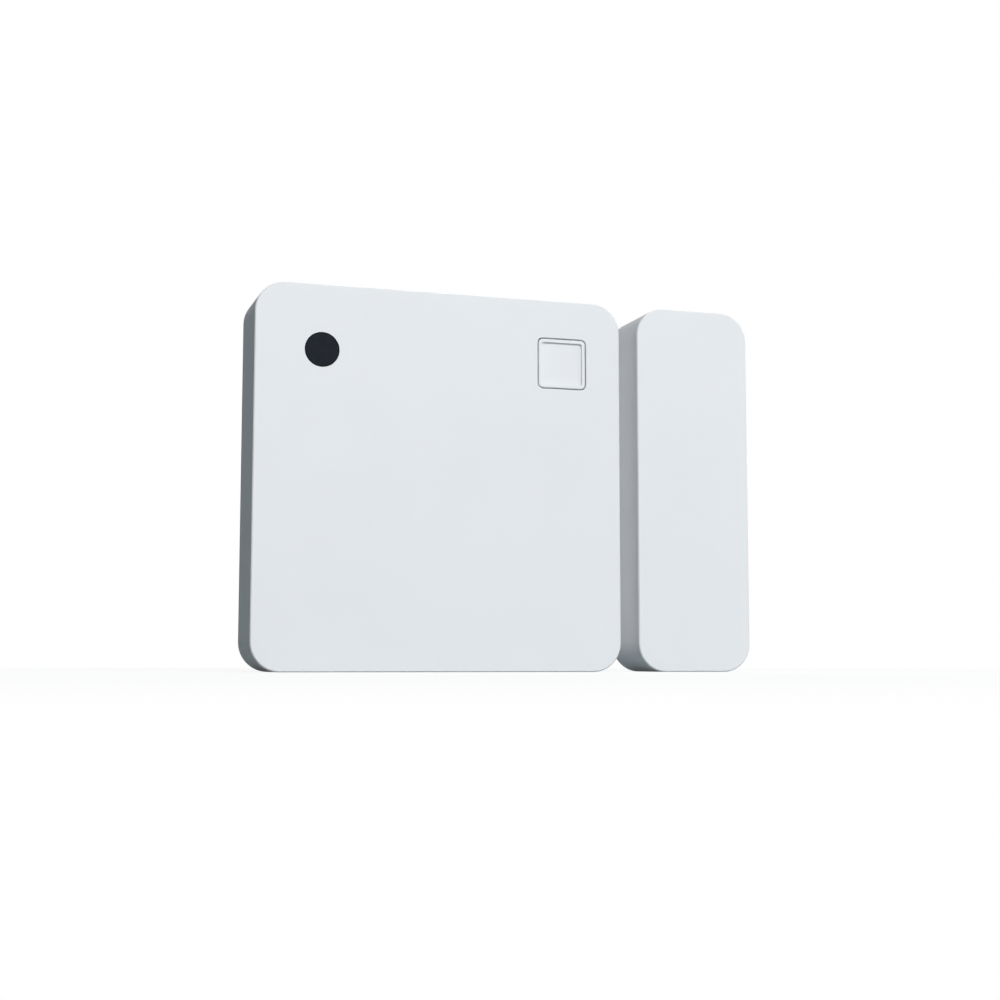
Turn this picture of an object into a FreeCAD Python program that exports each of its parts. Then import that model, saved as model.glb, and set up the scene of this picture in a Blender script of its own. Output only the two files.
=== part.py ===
# Door and window sensor with tilt sensing: a coin-cell sensor unit and the magnet unit that
# stands beside it, both stuck to the wall or frame behind them with foam pads.
#
# Frame of the whole part: +X to the viewer's right, +Y into the wall, +Z up, in millimetres.
# The origin is the centre of the sensor unit's foam pad, on the wall plane.
# Each piece is drawn in the viewer's own frame, x to the right, y up and z out of the wall,
# and its placement stands that frame up in the frame of the whole part.
import FreeCAD, Part
import math
import os
import re
import Sketcher

SHEET = "Dims"

# Driving dimensions, in millimetres. What one piece shares with another is worked out from these.
SIZES = {
    # casings
    "corner_radius": 2.8,  # the rounded corners of both units, seen from the front
    "corner_least": 0.3,  # least corner radius of pieces that fit in those corners
    "edge_break": 0.1,  # bevel where the front face meets the sides
    "front_wall": 0.9,  # thickness of the front face
    "side_wall": 1.3,  # thickness of the sides
    "rim_wall": 0.9,  # the sides where the back cover drops in
    "unit_gap": 1.9,  # between the two units, with the door shut
    "notch_width": 6.0,  # pry notch in the rim at the bottom
    # back covers
    "cover_thickness": 0.75,
    "cover_clearance": 0.1,  # all round the cover, in its rim
    "prong_thickness": 0.7,
    "prong_width": 2.4,
    "prong_length": 2.6,
    "prong_gap": 0.25,  # between a prong and the side that it runs along
    "prong_inset": 3.1,  # prong's centre from the inner corner of the sides
    "snap_height": 0.2,  # how far the snap bead stands out of its prong
    "snap_root": 0.1,  # how deep the bead is rooted in its prong
    "snap_slope": 0.15,
    "snap_width": 0.7,
    "clamp_diameter": 2.0,  # posts that hold the board forward
    "clamp_from_middle": 11.0,
    "clamp_low": 13.0,
    "stiffener_width": 0.8,
    "stiffener_height": 0.6,
    "stiffener_pitch": 4.5,
    "stiffener_rows": 5,
    # foam pads
    "pad_thickness": 0.8,
    "pad_inset": 1.8,  # from the edge of the cover
    "pad_radius": 1.2,
    # dark window
    "window_diameter": 3.3,
    "window_from_side": 6.3,  # centre of the window from the left side
    "controls_from_top": 6.15,  # centres of window and button from the top
    "window_clearance": 0.03,
    "window_edge": 0.08,
    "window_flange": 0.5,  # how far the flange overlaps the front wall
    "flange_thickness": 0.25,
    # button
    "button_width": 4.8,
    "button_radius": 0.45,
    "button_from_side": 6.0,  # centre of the button from the right side
    "button_clearance": 0.1,
    "button_rim": 0.33,  # width of the raised border round the sunken field
    "button_field": 0.2,  # depth of the field
    "button_field_radius": 0.25,
    "button_edge": 0.06,
    "button_overlap": 0.45,  # how far the button's flange reaches behind the front wall
    "button_travel": 0.18,
    "button_play": 0.03,  # free play in front of and behind the button
    "stem_diameter": 1.4,
    "stem_length": 0.12,
    "hole_edge": 0.04,  # broken edge of the button's opening
    "collar_wall": 0.5,
    "collar_height": 0.6,
    "collar_clearance": 0.15,
    # push switch
    "switch_length": 3.0,
    "switch_width": 2.6,
    "switch_base": 0.35,
    "switch_plate": 0.1,
    "plate_radius": 0.2,
    "plunger_diameter": 1.5,
    "plunger_reserve": 0.04,  # what still stands out of the switch when it is pressed
    "plunger_edge": 0.04,
    "plunger_clearance": 0.08,
    "switch_floor": 0.1,
    "dome_thickness": 0.06,
    "terminal_length": 0.5,
    "terminal_width": 0.45,
    "terminal_height": 0.12,
    # circuit board
    "board_thickness": 0.6,
    "board_clearance": 0.2,
    "post_diameter": 2.2,
    "post_inset": 1.9,  # post's centre from the edge of the board
    "pin_diameter": 0.9,
    "pin_clearance": 0.1,
    "stake_diameter": 1.7,  # the pin's head, formed over the board
    "stake_height": 0.4,
    "stake_slope": 0.28,
    "rib_length": 3.0,
    "rib_width": 0.9,
    # coin cell and its clip
    "cell_diameter": 20.0,
    "cell_thickness": 3.2,
    "cell_edge": 0.3,  # bevel of the can's edges
    "can_wall": 0.25,
    "gasket_width": 0.95,  # between the can and the cap
    "gasket_foot": 0.25,  # how far the gasket holds the cap off the can's floor
    "gasket_lip": 0.35,  # what shows of the gasket between the crimped can and the cap
    "cap_step": 0.45,  # how far the cap stands out of the can's crimp
    "cell_play": 0.02,  # between the cell and each contact
    "cell_side_play": 0.1,
    "cell_slide": 12.4,  # how far the cell slides up, out of its clip
    "cell_end_room": 0.3,  # left above the cell when it has slid up
    "contact_thickness": 0.1,
    "contact_diameter": 9.0,
    "contact_hole": 3.0,
    "clip_metal": 0.2,
    "clip_to_cover": 0.1,
    "clip_stop": 9.0,  # width of the stop under the cell
    "clip_arm": 6.0,  # length of the arms beside the cell
    "clip_past_centre": 2.0,  # the clip reaches this far past the middle of the cell
    "clip_foot": 0.8,
    "clip_bend": 0.15,  # inside radius of the strap's bends
    "clip_relief": 2.1,  # radius of the cut at the strap's lower corners
    "tongue_width": 3.0,
    "tongue_length": 6.0,
    "tongue_slot": 0.6,
    # what stands beside the cell on the board
    "column_width": 11.6,
    "chip_spacing": 1.0,
    "chip_edge": 0.08,
    "radio_width": 4.0,
    "radio_height": 0.85,
    "crystal_length": 2.5,
    "crystal_width": 2.0,
    "crystal_height": 0.6,
    "tilt_width": 2.0,
    "tilt_height": 0.9,
    "reservoir_length": 3.5,
    "reservoir_width": 2.8,
    "reservoir_height": 1.9,
    "antenna_length": 5.2,
    "antenna_width": 2.0,
    "antenna_height": 1.1,
    "antenna_from_edge": 0.6,
    "passive_length": 1.0,
    "passive_width": 0.5,
    "passive_height": 0.5,
    "passive_pitch": 1.3,
    "capacitors": 8,
    "resistors": 6,
    "light_chip_length": 1.6,
    "light_chip_width": 1.4,
    "light_chip_height": 0.5,
    "led_length": 1.6,
    "led_width": 0.8,
    "led_height": 0.4,
    "led_gap": 0.3,  # between the light chip and the lamp
    # reed switch
    "reed_diameter": 1.8,
    "reed_length": 10.0,
    "reed_bore": 1.1,
    "reed_end": 0.35,
    "reed_seal": 1.2,  # solid glass round the wire at each end
    "reed_wire": 0.4,
    "reed_lead": 1.3,  # straight wire past the glass, before it turns to the board
    "reed_above_board": 0.3,
    "reed_from_edge": 1.9,
    "blade_root": 0.3,  # where the round wire is flattened into its blade
    "blade_overlap": 1.2,
    "blade_gap": 0.1,
    "blade_thickness": 0.15,
    "blade_width": 0.7,
    # magnet unit
    "bar_width": 6.0,
    "bar_length": 26.0,
    "bar_thickness": 3.5,
    "bar_edge": 0.3,
    "bar_side_room": 1.65,
    "bar_clearance": 0.05,
    "bar_seat": 0.35,
    "bar_seat_width": 1.0,
    "cradle_wall": 0.8,
    "cradle_height": 2.2,
    "cradle_length": 6.0,
}

# Places and sizes that follow from the driving dimensions.
FOLLOWING = {
    # levels, out from the wall
    "rim": "pad_thickness",
    "cover_inside": "rim + cover_thickness",
    "clip_outside": "cover_inside + clip_to_cover",
    "clip_inside": "clip_outside + clip_metal",
    "cell_back": "clip_inside + cell_play",
    "cell_front": "cell_back + cell_thickness",
    "board_back": "cell_front + cell_play + contact_thickness",
    "board_front": "board_back + board_thickness",
    "switch_height": "switch_base + switch_plate",
    "plunger_out": "button_travel + plunger_reserve",
    "plunger_top": "board_front + switch_height + plunger_out",
    "stem_end": "plunger_top + button_play",
    "flange_back": "stem_end + stem_length",
    "front_inside": "flange_back + flange_thickness + button_play",
    "front_face": "front_inside + front_wall",
    "unit_depth": "front_face - rim",
    # the sensor unit seen from the front
    "clip_width": "cell_diameter + 2 * cell_side_play + 2 * clip_metal",
    "board_width": "clip_foot + clip_width + column_width",
    "board_height": "clip_metal + cell_side_play + cell_diameter + cell_slide + cell_end_room",
    "inner_width": "board_width + 2 * board_clearance",
    "inner_height": "board_height + 2 * board_clearance",
    "sensor_width": "inner_width + 2 * side_wall",
    "unit_height": "inner_height + 2 * side_wall",
    "inner_radius": "corner_radius - side_wall",
    "rim_radius": "corner_radius - rim_wall",
    "window_x": "window_from_side - sensor_width / 2",
    "button_x": "sensor_width / 2 - button_from_side",
    "controls_y": "unit_height / 2 - controls_from_top",
    "button_hole": "button_width + 2 * button_clearance",
    "button_flange": "button_hole + 2 * button_overlap",
    "window_flange_diameter": "window_diameter + 2 * window_flange",
    "cell_x": "clip_foot + clip_width / 2 - board_width / 2",
    "cell_y": "clip_metal + cell_side_play + cell_diameter / 2 - board_height / 2",
    "column_left": "board_width / 2 - column_width",
    "chips_x": "column_left + chip_spacing + passive_length + chip_spacing / 2 + radio_width / 2",
    "radio_y": "0",
    "crystal_y": "radio_y + radio_width / 2 + chip_spacing + crystal_width / 2",
    "tilt_y": "radio_y - radio_width / 2 - chip_spacing - tilt_width / 2",
    "reservoir_y": "tilt_y - tilt_width / 2 - chip_spacing - reservoir_width / 2",
    "passives_x": "column_left + chip_spacing + passive_length / 2",
    "antenna_x": "board_width / 2 - column_width / 2",
    "antenna_y": "board_height / 2 - antenna_from_edge - antenna_width / 2",
    "reed_x": "board_width / 2 - reed_from_edge",
    "reed_z": "board_back - reed_above_board - reed_diameter / 2",
    "post_x": "board_width / 2 - post_inset",
    "post_y": "board_height / 2 - post_inset",
    "board_radius": "max(inner_radius - board_clearance; corner_least)",
    "dome_top": "board_front + switch_floor + dome_thickness",
    "plunger_length": "plunger_top - button_travel - button_play - dome_top",
    "can_front": "cell_front - cap_step",
    "can_bore": "cell_diameter - 2 * can_wall",
    "cap_diameter": "can_bore - 2 * gasket_width",
    "can_mouth": "cap_diameter + 2 * gasket_lip",
    "cap_edge": "cell_back + 2 * can_wall + gasket_foot",
    "clip_height": "clip_metal + cell_side_play + cell_diameter / 2 + clip_past_centre",
    "cover_width": "sensor_width - 2 * rim_wall - 2 * cover_clearance",
    "cover_height": "unit_height - 2 * rim_wall - 2 * cover_clearance",
    "cover_radius": "rim_radius - cover_clearance",
    "magnet_cover_width": "magnet_width - 2 * rim_wall - 2 * cover_clearance",
    "stiffener_left": "column_left + chip_spacing",
    "stiffener_right": "board_width / 2 - prong_gap - prong_thickness",
    "prong_y": "inner_height / 2 - prong_inset",
    "snap_level": "cover_inside + prong_length - snap_width",
    # the magnet unit seen from the front
    "magnet_inner": "bar_width + 2 * bar_side_room",
    "magnet_width": "magnet_inner + 2 * side_wall",
    "magnet_x": "sensor_width / 2 + unit_gap + magnet_width / 2",
    "bar_front": "front_inside - bar_seat",
    "bar_back": "bar_front - bar_thickness",
}

EXPRESSION_FUNCTIONS = ("max",)
STANDING = FreeCAD.Rotation(FreeCAD.Vector(1, 0, 0), 90)
NEAR = 1e-4

doc = FreeCAD.newDocument("door_sensor")


def make_sheet():
    """Puts the driving dimensions in the document's spreadsheet."""
    table = doc.addObject("Spreadsheet::Sheet", SHEET)
    for row, (alias, value) in enumerate(SIZES.items(), start=1):
        table.set(f"A{row}", alias.replace("_", " "))
        table.set(f"B{row}", str(value))
        table.setAlias(f"B{row}", alias)
    doc.recompute()
    return table


sheet = make_sheet()


def formula(text):
    """The expression for a sum of named sizes, down to the cells of the spreadsheet."""

    def cell(match):
        word = match.group(0)
        if word in FOLLOWING:
            return f"({formula(FOLLOWING[word])})"
        if word in EXPRESSION_FUNCTIONS:
            return word
        return f"{SHEET}.{word}"

    return re.sub(r"[a-z][a-z_]*", cell, text)


def number(text):
    """The value that a sum of named sizes has now."""
    return float(sheet.evalExpression(formula(text)))


def bind(feature, size, text):
    """Ties one size of a feature to the spreadsheet."""
    feature.setExpression(size, formula(text))


def new_body(name, x="0"):
    """An empty body, drawn in the viewer's frame and stood up at x along the wall."""
    body = doc.addObject("PartDesign::Body", name)
    body.Label = name
    body.Placement = FreeCAD.Placement(FreeCAD.Vector(), STANDING)
    bind(body, "Placement.Base.x", x)
    return body


def origin_plane(body, role):
    """One of the body's own origin planes."""
    return next(f for f in body.Origin.OriginFeatures if f.Role == role)


def sketch_at(body, name, place, plane):
    """An empty sketch with its centre at place, three sums of sizes.

    On XY_Plane it faces the viewer. On XZ_Plane it faces down.
    """
    sketch = body.newObject("Sketcher::SketchObject", name)
    sketch.AttachmentSupport = [(origin_plane(body, plane), "")]
    sketch.MapMode = "FlatFace"
    x, y, z = place
    offset = (x, y, z) if plane == "XY_Plane" else (x, z, f"-({y})")
    for axis, text in zip("xyz", offset):
        bind(sketch, f"AttachmentOffset.Base.{axis}", text)
    return sketch


def drive(sketch, constraint, text):
    """Adds a constraint whose size follows the spreadsheet."""
    index = sketch.addConstraint(constraint)
    sketch.setExpression(f"Constraints[{index}]", formula(text))


def circle(diameter):
    """An outline: a circle round the sketch's centre."""

    def draw(sketch):
        radius = number(diameter) / 2
        edge = sketch.addGeometry(Part.Circle(FreeCAD.Vector(), FreeCAD.Vector(0, 0, 1), radius), False)
        sketch.addConstraint(Sketcher.Constraint("Coincident", edge, 3, -1, 1))
        drive(sketch, Sketcher.Constraint("Radius", edge, radius), f"({diameter}) / 2")

    return draw


def rectangle(width, height):
    """An outline: a rectangle about the sketch's centre."""

    def draw(sketch):
        half_w = number(width) / 2
        half_h = number(height) / 2
        corners = [(-half_w, -half_h), (half_w, -half_h), (half_w, half_h), (-half_w, half_h)]
        points = [FreeCAD.Vector(x, y, 0) for x, y in corners]
        lines = [Part.LineSegment(points[k], points[(k + 1) % 4]) for k in range(4)]
        bottom, right, top, left = sketch.addGeometry(lines, False)
        for first, second in ((bottom, right), (right, top), (top, left), (left, bottom)):
            sketch.addConstraint(Sketcher.Constraint("Coincident", first, 2, second, 1))
        for flat in (bottom, top):
            sketch.addConstraint(Sketcher.Constraint("Horizontal", flat))
        for upright in (right, left):
            sketch.addConstraint(Sketcher.Constraint("Vertical", upright))
        sketch.addConstraint(Sketcher.Constraint("Symmetric", bottom, 1, top, 1, -1, 1))
        drive(sketch, Sketcher.Constraint("DistanceX", bottom, 1, bottom, 2, 2 * half_w), width)
        drive(sketch, Sketcher.Constraint("DistanceY", right, 1, right, 2, 2 * half_h), height)

    return draw


def rounded(width, height, radius):
    """An outline: a rectangle with round corners about the sketch's centre."""

    def draw(sketch):
        half_w = number(width) / 2
        half_h = number(height) / 2
        r = number(radius)
        in_w = half_w - r
        in_h = half_h - r
        lines = [
            Part.LineSegment(FreeCAD.Vector(-in_w, -half_h), FreeCAD.Vector(in_w, -half_h)),
            Part.LineSegment(FreeCAD.Vector(half_w, -in_h), FreeCAD.Vector(half_w, in_h)),
            Part.LineSegment(FreeCAD.Vector(in_w, half_h), FreeCAD.Vector(-in_w, half_h)),
            Part.LineSegment(FreeCAD.Vector(-half_w, in_h), FreeCAD.Vector(-half_w, -in_h)),
        ]
        centres = [(in_w, -in_h), (in_w, in_h), (-in_w, in_h), (-in_w, -in_h)]
        arcs = []
        for k, (x, y) in enumerate(centres):
            whole = Part.Circle(FreeCAD.Vector(x, y), FreeCAD.Vector(0, 0, 1), r)
            start = -math.pi / 2 + k * math.pi / 2
            arcs.append(Part.ArcOfCircle(whole, start, start + math.pi / 2))
        sides = sketch.addGeometry(lines, False)
        bends = sketch.addGeometry(arcs, False)
        for k in range(4):
            sketch.addConstraint(Sketcher.Constraint("Tangent", sides[k], 2, bends[k], 1))
            sketch.addConstraint(Sketcher.Constraint("Tangent", bends[k], 2, sides[(k + 1) % 4], 1))
        for flat in (sides[0], sides[2]):
            sketch.addConstraint(Sketcher.Constraint("Horizontal", flat))
        for upright in (sides[1], sides[3]):
            sketch.addConstraint(Sketcher.Constraint("Vertical", upright))
        for bend in bends[1:]:
            sketch.addConstraint(Sketcher.Constraint("Equal", bends[0], bend))
        sketch.addConstraint(Sketcher.Constraint("Symmetric", sides[0], 1, sides[2], 1, -1, 1))
        drive(sketch, Sketcher.Constraint("Radius", bends[0], r), radius)
        drive(sketch, Sketcher.Constraint("DistanceX", sides[3], 2, sides[1], 1, 2 * half_w), width)
        drive(sketch, Sketcher.Constraint("DistanceY", sides[0], 2, sides[2], 1, 2 * half_h), height)

    return draw


def slab(body, name, outline, place, depth, plane="XY_Plane"):
    """Adds a slab of that outline, from its place the way that its sketch faces."""
    sketch = sketch_at(body, f"{name}_outline", place, plane)
    outline(sketch)
    feature = body.newObject("PartDesign::Pad", name)
    feature.Profile = sketch
    bind(feature, "Length", depth)
    sketch.Visibility = False
    return feature


def hollow(body, name, outline, place, depth, plane="XY_Plane"):
    """Cuts that outline out, from its place the way that its sketch faces."""
    sketch = sketch_at(body, f"{name}_outline", place, plane)
    outline(sketch)
    feature = body.newObject("PartDesign::Pocket", name)
    feature.Profile = sketch
    feature.Reversed = True
    bind(feature, "Length", depth)
    sketch.Visibility = False
    return feature


def edge_names(feature, wanted):
    """Names of the edges for which wanted(edge) holds, after a recompute."""
    doc.recompute()
    return [f"Edge{k}" for k, edge in enumerate(feature.Shape.Edges, start=1) if wanted(edge)]


def soften(body, name, wanted, size, kind="Fillet"):
    """Rounds or chamfers the edges of the body's tip for which wanted(edge) holds."""
    base = body.Tip
    names = edge_names(base, wanted)
    feature = body.newObject(f"PartDesign::{kind}", name)
    feature.Base = (base, names)
    bind(feature, {"Fillet": "Radius", "Chamfer": "Size"}[kind], size)
    return feature


def at_level(level):
    """Test for edges that lie flat at one level."""
    z = number(level)

    def test(edge):
        box = edge.BoundBox
        return abs(box.ZMin - z) < NEAR and abs(box.ZMax - z) < NEAR

    return test


def at_level_within(level, x, y, reach):
    """Test for edges that lie flat at one level and within a square of that reach about a place."""
    flat = at_level(level)
    middle = FreeCAD.Vector(number(x), number(y), number(level))
    half = number(reach) / 2

    def test(edge):
        away = edge.BoundBox.Center - middle
        return flat(edge) and max(abs(away.x), abs(away.y)) < half

    return test


def upright_edges(out):
    """Test for edges that run up and down at that distance to the left or right of the body's middle."""
    x = number(out)

    def test(edge):
        box = edge.BoundBox
        return abs(abs(box.XMin) - x) < NEAR and box.XLength < NEAR and box.ZLength < NEAR

    return test


def lengthwise(level):
    """Test for edges that run up and down, all at one level."""
    flat = at_level(level)

    def test(edge):
        return flat(edge) and edge.BoundBox.XLength < NEAR

    return test


def mirrored(body, name, features, role):
    """Repeats features across one of the body's origin planes."""
    feature = body.newObject("PartDesign::Mirrored", name)
    feature.Originals = features
    feature.MirrorPlane = (origin_plane(body, role), [""])
    body.Tip = feature
    return feature


def casing(body, width, inner):
    """The open-backed tray that both units share, with its rebate, snap grooves and pry notch."""
    slab(body, "shell", rounded(width, "unit_height", "corner_radius"), ("0", "0", "rim"), "unit_depth")
    soften(body, "front_edge", at_level("front_face"), "edge_break", "Chamfer")
    inside = rounded(inner, "inner_height", "inner_radius")
    hollow(body, "inside", inside, ("0", "0", "rim"), "unit_depth - front_wall")
    rebate = rounded(f"{width} - 2 * rim_wall", "unit_height - 2 * rim_wall", "rim_radius")
    hollow(body, "rebate", rebate, ("0", "0", "rim"), "cover_thickness")
    notch = rectangle("notch_width", "2 * rim_wall")
    hollow(body, "pry_notch", notch, ("0", "-unit_height / 2", "rim"), "cover_thickness")
    groove = rectangle("2 * snap_height", "prong_width + 2 * prong_gap")
    for row, y in (("low", "-prong_y"), ("high", "prong_y")):
        place = (f"-({inner}) / 2", y, "snap_level - prong_gap")
        left = hollow(body, f"snap_groove_{row}", groove, place, "snap_width + 2 * prong_gap")
        mirrored(body, f"snap_groove_{row}_right", [left], "YZ_Plane")


def back_plate(body, width, inner):
    """A back cover's plate with its four snap prongs."""
    plate = rounded(width, "cover_height", "cover_radius")
    slab(body, "plate", plate, ("0", "0", "rim"), "cover_thickness")
    side = f"({inner}) / 2 - prong_gap"
    for row, y in (("low", "-prong_y"), ("high", "prong_y")):
        prong = slab(body, f"prong_{row}", rectangle("prong_thickness", "prong_width"),
                     (f"prong_thickness / 2 - ({side})", y, "cover_inside"), "prong_length")
        mirrored(body, f"prong_{row}_right", [prong], "YZ_Plane")
        bead = slab(body, f"bead_{row}", rectangle("snap_height + snap_root", "prong_width"),
                    (f"-({side}) - (snap_height - snap_root) / 2", y, "snap_level"), "snap_width")
        mirrored(body, f"bead_{row}_right", [bead], "YZ_Plane")
    soften(body, "bead_slopes", upright_edges(f"{side} + snap_height"), "snap_slope", "Chamfer")


def front_housing():
    """The sensor unit's casing: openings for window and button, their collars, and the board's posts."""
    body = new_body("front_housing")
    casing(body, "sensor_width", "inner_width")
    window = ("window_x", "controls_y")
    button = ("button_x", "controls_y")
    collar_level = "front_inside - collar_height"
    slab(body, "window_collar", circle("window_flange_diameter + 2 * collar_clearance + 2 * collar_wall"),
         (*window, collar_level), "collar_height")
    hollow(body, "window_seat", circle("window_flange_diameter + 2 * collar_clearance"),
           (*window, collar_level), "collar_height")
    hollow(body, "window_hole", circle("window_diameter"), (*window, "front_inside"), "front_wall")
    guide = "button_flange + 2 * collar_clearance"
    collar = f"{guide} + 2 * collar_wall"
    slab(body, "button_collar", rounded(collar, collar, "button_radius"),
         (*button, collar_level), "collar_height")
    hollow(body, "button_guide", rectangle(guide, guide), (*button, collar_level), "collar_height")
    hollow(body, "button_hole", rounded("button_hole", "button_hole", "button_radius + button_clearance"),
           (*button, "front_inside"), "front_wall")
    round_button = at_level_within("front_face", *button, "button_flange")
    soften(body, "button_hole_edge", round_button, "hole_edge", "Chamfer")
    board_posts(body)
    seat_ribs(body)
    return body


def post_places():
    """Where the board's four posts stand: three corners, and beside the button's guide at the top."""
    past_guide = "button_x - button_flange / 2 - collar_clearance - collar_wall - post_diameter"
    return (("-post_x", "-post_y"), ("post_x", "-post_y"), ("-post_x", "post_y"), (past_guide, "post_y"))


def pin_places():
    """The two posts, far apart, that carry on through the board as pins."""
    low_left, _, _, high_right = post_places()
    return low_left, high_right


def board_posts(body):
    """Posts that the board lies on, two of them with pins whose heads are formed over its back."""
    for k, (x, y) in enumerate(post_places()):
        slab(body, f"post_{k}", circle("post_diameter"), (x, y, "board_front"), "front_inside - board_front")
    for k, (x, y) in enumerate(pin_places()):
        slab(body, f"pin_{k}", circle("pin_diameter"), (x, y, "board_back"), "board_thickness")
        slab(body, f"stake_{k}", circle("stake_diameter"), (x, y, "board_back - stake_height"),
             "stake_height")
    soften(body, "stake_slopes", at_level("board_back - stake_height"), "stake_slope", "Chamfer")


def seat_ribs(body):
    """Ribs along the sides that carry the edges of the board."""
    side = "inner_width / 2 - rib_width / 2"
    end = "inner_height / 2 - rib_width / 2"
    upright = rectangle("rib_width", "rib_length")
    level_rib = rectangle("rib_length", "rib_width")
    for name, outline, x, y in (
        ("left", upright, f"-({side})", "0"),
        ("right", upright, side, "-rib_length"),
        ("bottom", level_rib, "0", f"-({end})"),
        ("top", level_rib, "window_x + rib_length * 2", end),
    ):
        slab(body, f"rib_{name}", outline, (x, y, "board_front"), "front_inside - board_front")


def light_window():
    """The dark disc in front of the light chip and the lamp, with the flange that seats it."""
    body = new_body("light_window")
    centre = ("window_x", "controls_y")
    slab(body, "disc", circle("window_diameter - 2 * window_clearance"), (*centre, "front_inside"),
         "front_wall")
    soften(body, "disc_edge", at_level("front_face"), "window_edge", "Chamfer")
    slab(body, "flange", circle("window_flange_diameter"), (*centre, "front_inside - flange_thickness"),
         "flange_thickness")
    return body


def control_button():
    """The square button: cap with a sunken field, retaining flange and stem."""
    body = new_body("control_button")
    centre = ("button_x", "controls_y")
    slab(body, "cap", rounded("button_width", "button_width", "button_radius"),
         (*centre, "flange_back"), "front_face - flange_back")
    soften(body, "cap_edge", at_level("front_face"), "button_edge", "Chamfer")
    field = "button_width - 2 * button_rim"
    hollow(body, "field", rounded(field, field, "button_field_radius"),
           (*centre, "front_face - button_field"), "button_field")
    slab(body, "flange", rectangle("button_flange", "button_flange"), (*centre, "flange_back"),
         "flange_thickness")
    slab(body, "stem", circle("stem_diameter"), (*centre, "stem_end"), "stem_length")
    return body


def switch_base():
    """The push switch's moulded base, with the well that its plunger works in."""
    body = new_body("switch_base")
    centre = ("button_x", "controls_y")
    slab(body, "base", rectangle("switch_length", "switch_width"), (*centre, "board_front"), "switch_base")
    hollow(body, "well", circle("plunger_diameter + 2 * plunger_clearance"),
           (*centre, "board_front + switch_floor"), "switch_base - switch_floor")
    return body


def switch_plate():
    """The metal plate over the push switch."""
    body = new_body("switch_plate")
    centre = ("button_x", "controls_y")
    slab(body, "plate", rounded("switch_length", "switch_width", "plate_radius"),
         (*centre, "board_front + switch_base"), "switch_plate")
    hollow(body, "plunger_hole", circle("plunger_diameter + 2 * plunger_clearance"),
           (*centre, "board_front + switch_base"), "switch_plate")
    return body


def switch_plunger():
    """The push switch's plunger, which the button's stem presses."""
    body = new_body("switch_plunger")
    centre = ("button_x", "controls_y")
    level = "plunger_top - plunger_length"
    slab(body, "plunger", circle("plunger_diameter"), (*centre, level), "plunger_length")
    soften(body, "plunger_edge", at_level("plunger_top"), "plunger_edge", "Chamfer")
    return body


def switch_dome():
    """The snap disc on the floor of the push switch's well."""
    body = new_body("switch_dome")
    slab(body, "disc", circle("plunger_diameter"), ("button_x", "controls_y", "board_front + switch_floor"),
         "dome_thickness")
    return body


def array(body, name, first, rows):
    """Repeats one slab in rows: the sketch axis, how many there are and the span of each row."""
    doc.recompute()
    feature = body.newObject("PartDesign::MultiTransform", name)
    feature.Originals = [first]
    steps = []
    for axis, count, span in rows:
        step = body.newObject("PartDesign::LinearPattern", f"{name}_row")
        step.Direction = (first.Profile[0], [axis])
        step.Occurrences = count
        bind(step, "Length", span)
        steps.append(step)
    feature.Transformations = steps
    body.Tip = feature
    return feature


def switch_terminals():
    """The push switch's four soldered terminals, as separate solids."""
    body = new_body("switch_terminals")
    body.AllowCompound = True
    x = "button_x - switch_length / 2 - terminal_length / 2"
    y = "controls_y - switch_width / 2 + terminal_width / 2"
    outline = rectangle("terminal_length", "terminal_width")
    first = slab(body, "terminal", outline, (x, y, "board_front"), "terminal_height")
    rows = (("H_Axis", 2, "switch_length + terminal_length"), ("V_Axis", 2, "switch_width - terminal_width"))
    array(body, "terminals", first, rows)
    return body


def circuit_board():
    """The board, with the holes that the casing's pins pass through."""
    body = new_body("circuit_board")
    outline = rounded("board_width", "board_height", "board_radius")
    slab(body, "board", outline, ("0", "0", "board_back"), "board_thickness")
    for k, (x, y) in enumerate(pin_places()):
        hollow(body, f"pin_hole_{k}", circle("pin_diameter + 2 * pin_clearance"),
               (x, y, "board_back"), "board_thickness")
    return body


def cell_clip():
    """The sprung clip soldered to the back of the board, which the coin cell slides down into."""
    body = new_body("cell_clip")
    top = "clip_height - board_height / 2"
    arm_y = f"{top} - clip_arm / 2"
    slab(body, "strap", rectangle("clip_width", "clip_height"),
         ("cell_x", "clip_height / 2 - board_height / 2", "clip_outside"), "board_back - clip_outside")
    soften(body, "bends", lengthwise("clip_outside"), "clip_bend + clip_metal")
    hollow(body, "cell_way", rectangle("clip_width - 2 * clip_metal", "clip_height + 2 * clip_metal"),
           ("cell_x", "clip_height / 2 - board_height / 2", "clip_inside"), "board_back - clip_inside")
    soften(body, "inner_bends", lengthwise("clip_inside"), "clip_bend")
    below = "clip_height - clip_arm"
    for name, side in (("left", "-"), ("right", "")):
        wall_x = f"cell_x + {side}(clip_width / 2)"
        hollow(body, f"below_arm_{name}", rectangle("2 * (clip_metal + clip_bend)", below),
               (wall_x, f"({below}) / 2 - board_height / 2", "clip_outside"), "board_back - clip_outside")
        hollow(body, f"relief_{name}", circle("2 * clip_relief"),
               (wall_x, "-board_height / 2", "clip_outside"), "clip_metal")
        slot_x = f"cell_x + {side}(tongue_width + tongue_slot) / 2"
        hollow(body, f"slot_{name}", rectangle("tongue_slot", "tongue_length"),
               (slot_x, f"{top} - tongue_length / 2", "clip_outside"), "clip_metal")
        foot_x = f"{wall_x} + {side}(clip_foot - clip_metal) / 2"
        slab(body, f"foot_{name}", rectangle("clip_foot + clip_metal", "clip_arm"),
             (foot_x, arm_y, "board_back - clip_metal"), "clip_metal")
    slab(body, "stop", rectangle("clip_stop", "clip_metal"),
         ("cell_x", "clip_metal / 2 - board_height / 2", "clip_outside"), "board_back - clip_outside")
    return body


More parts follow.
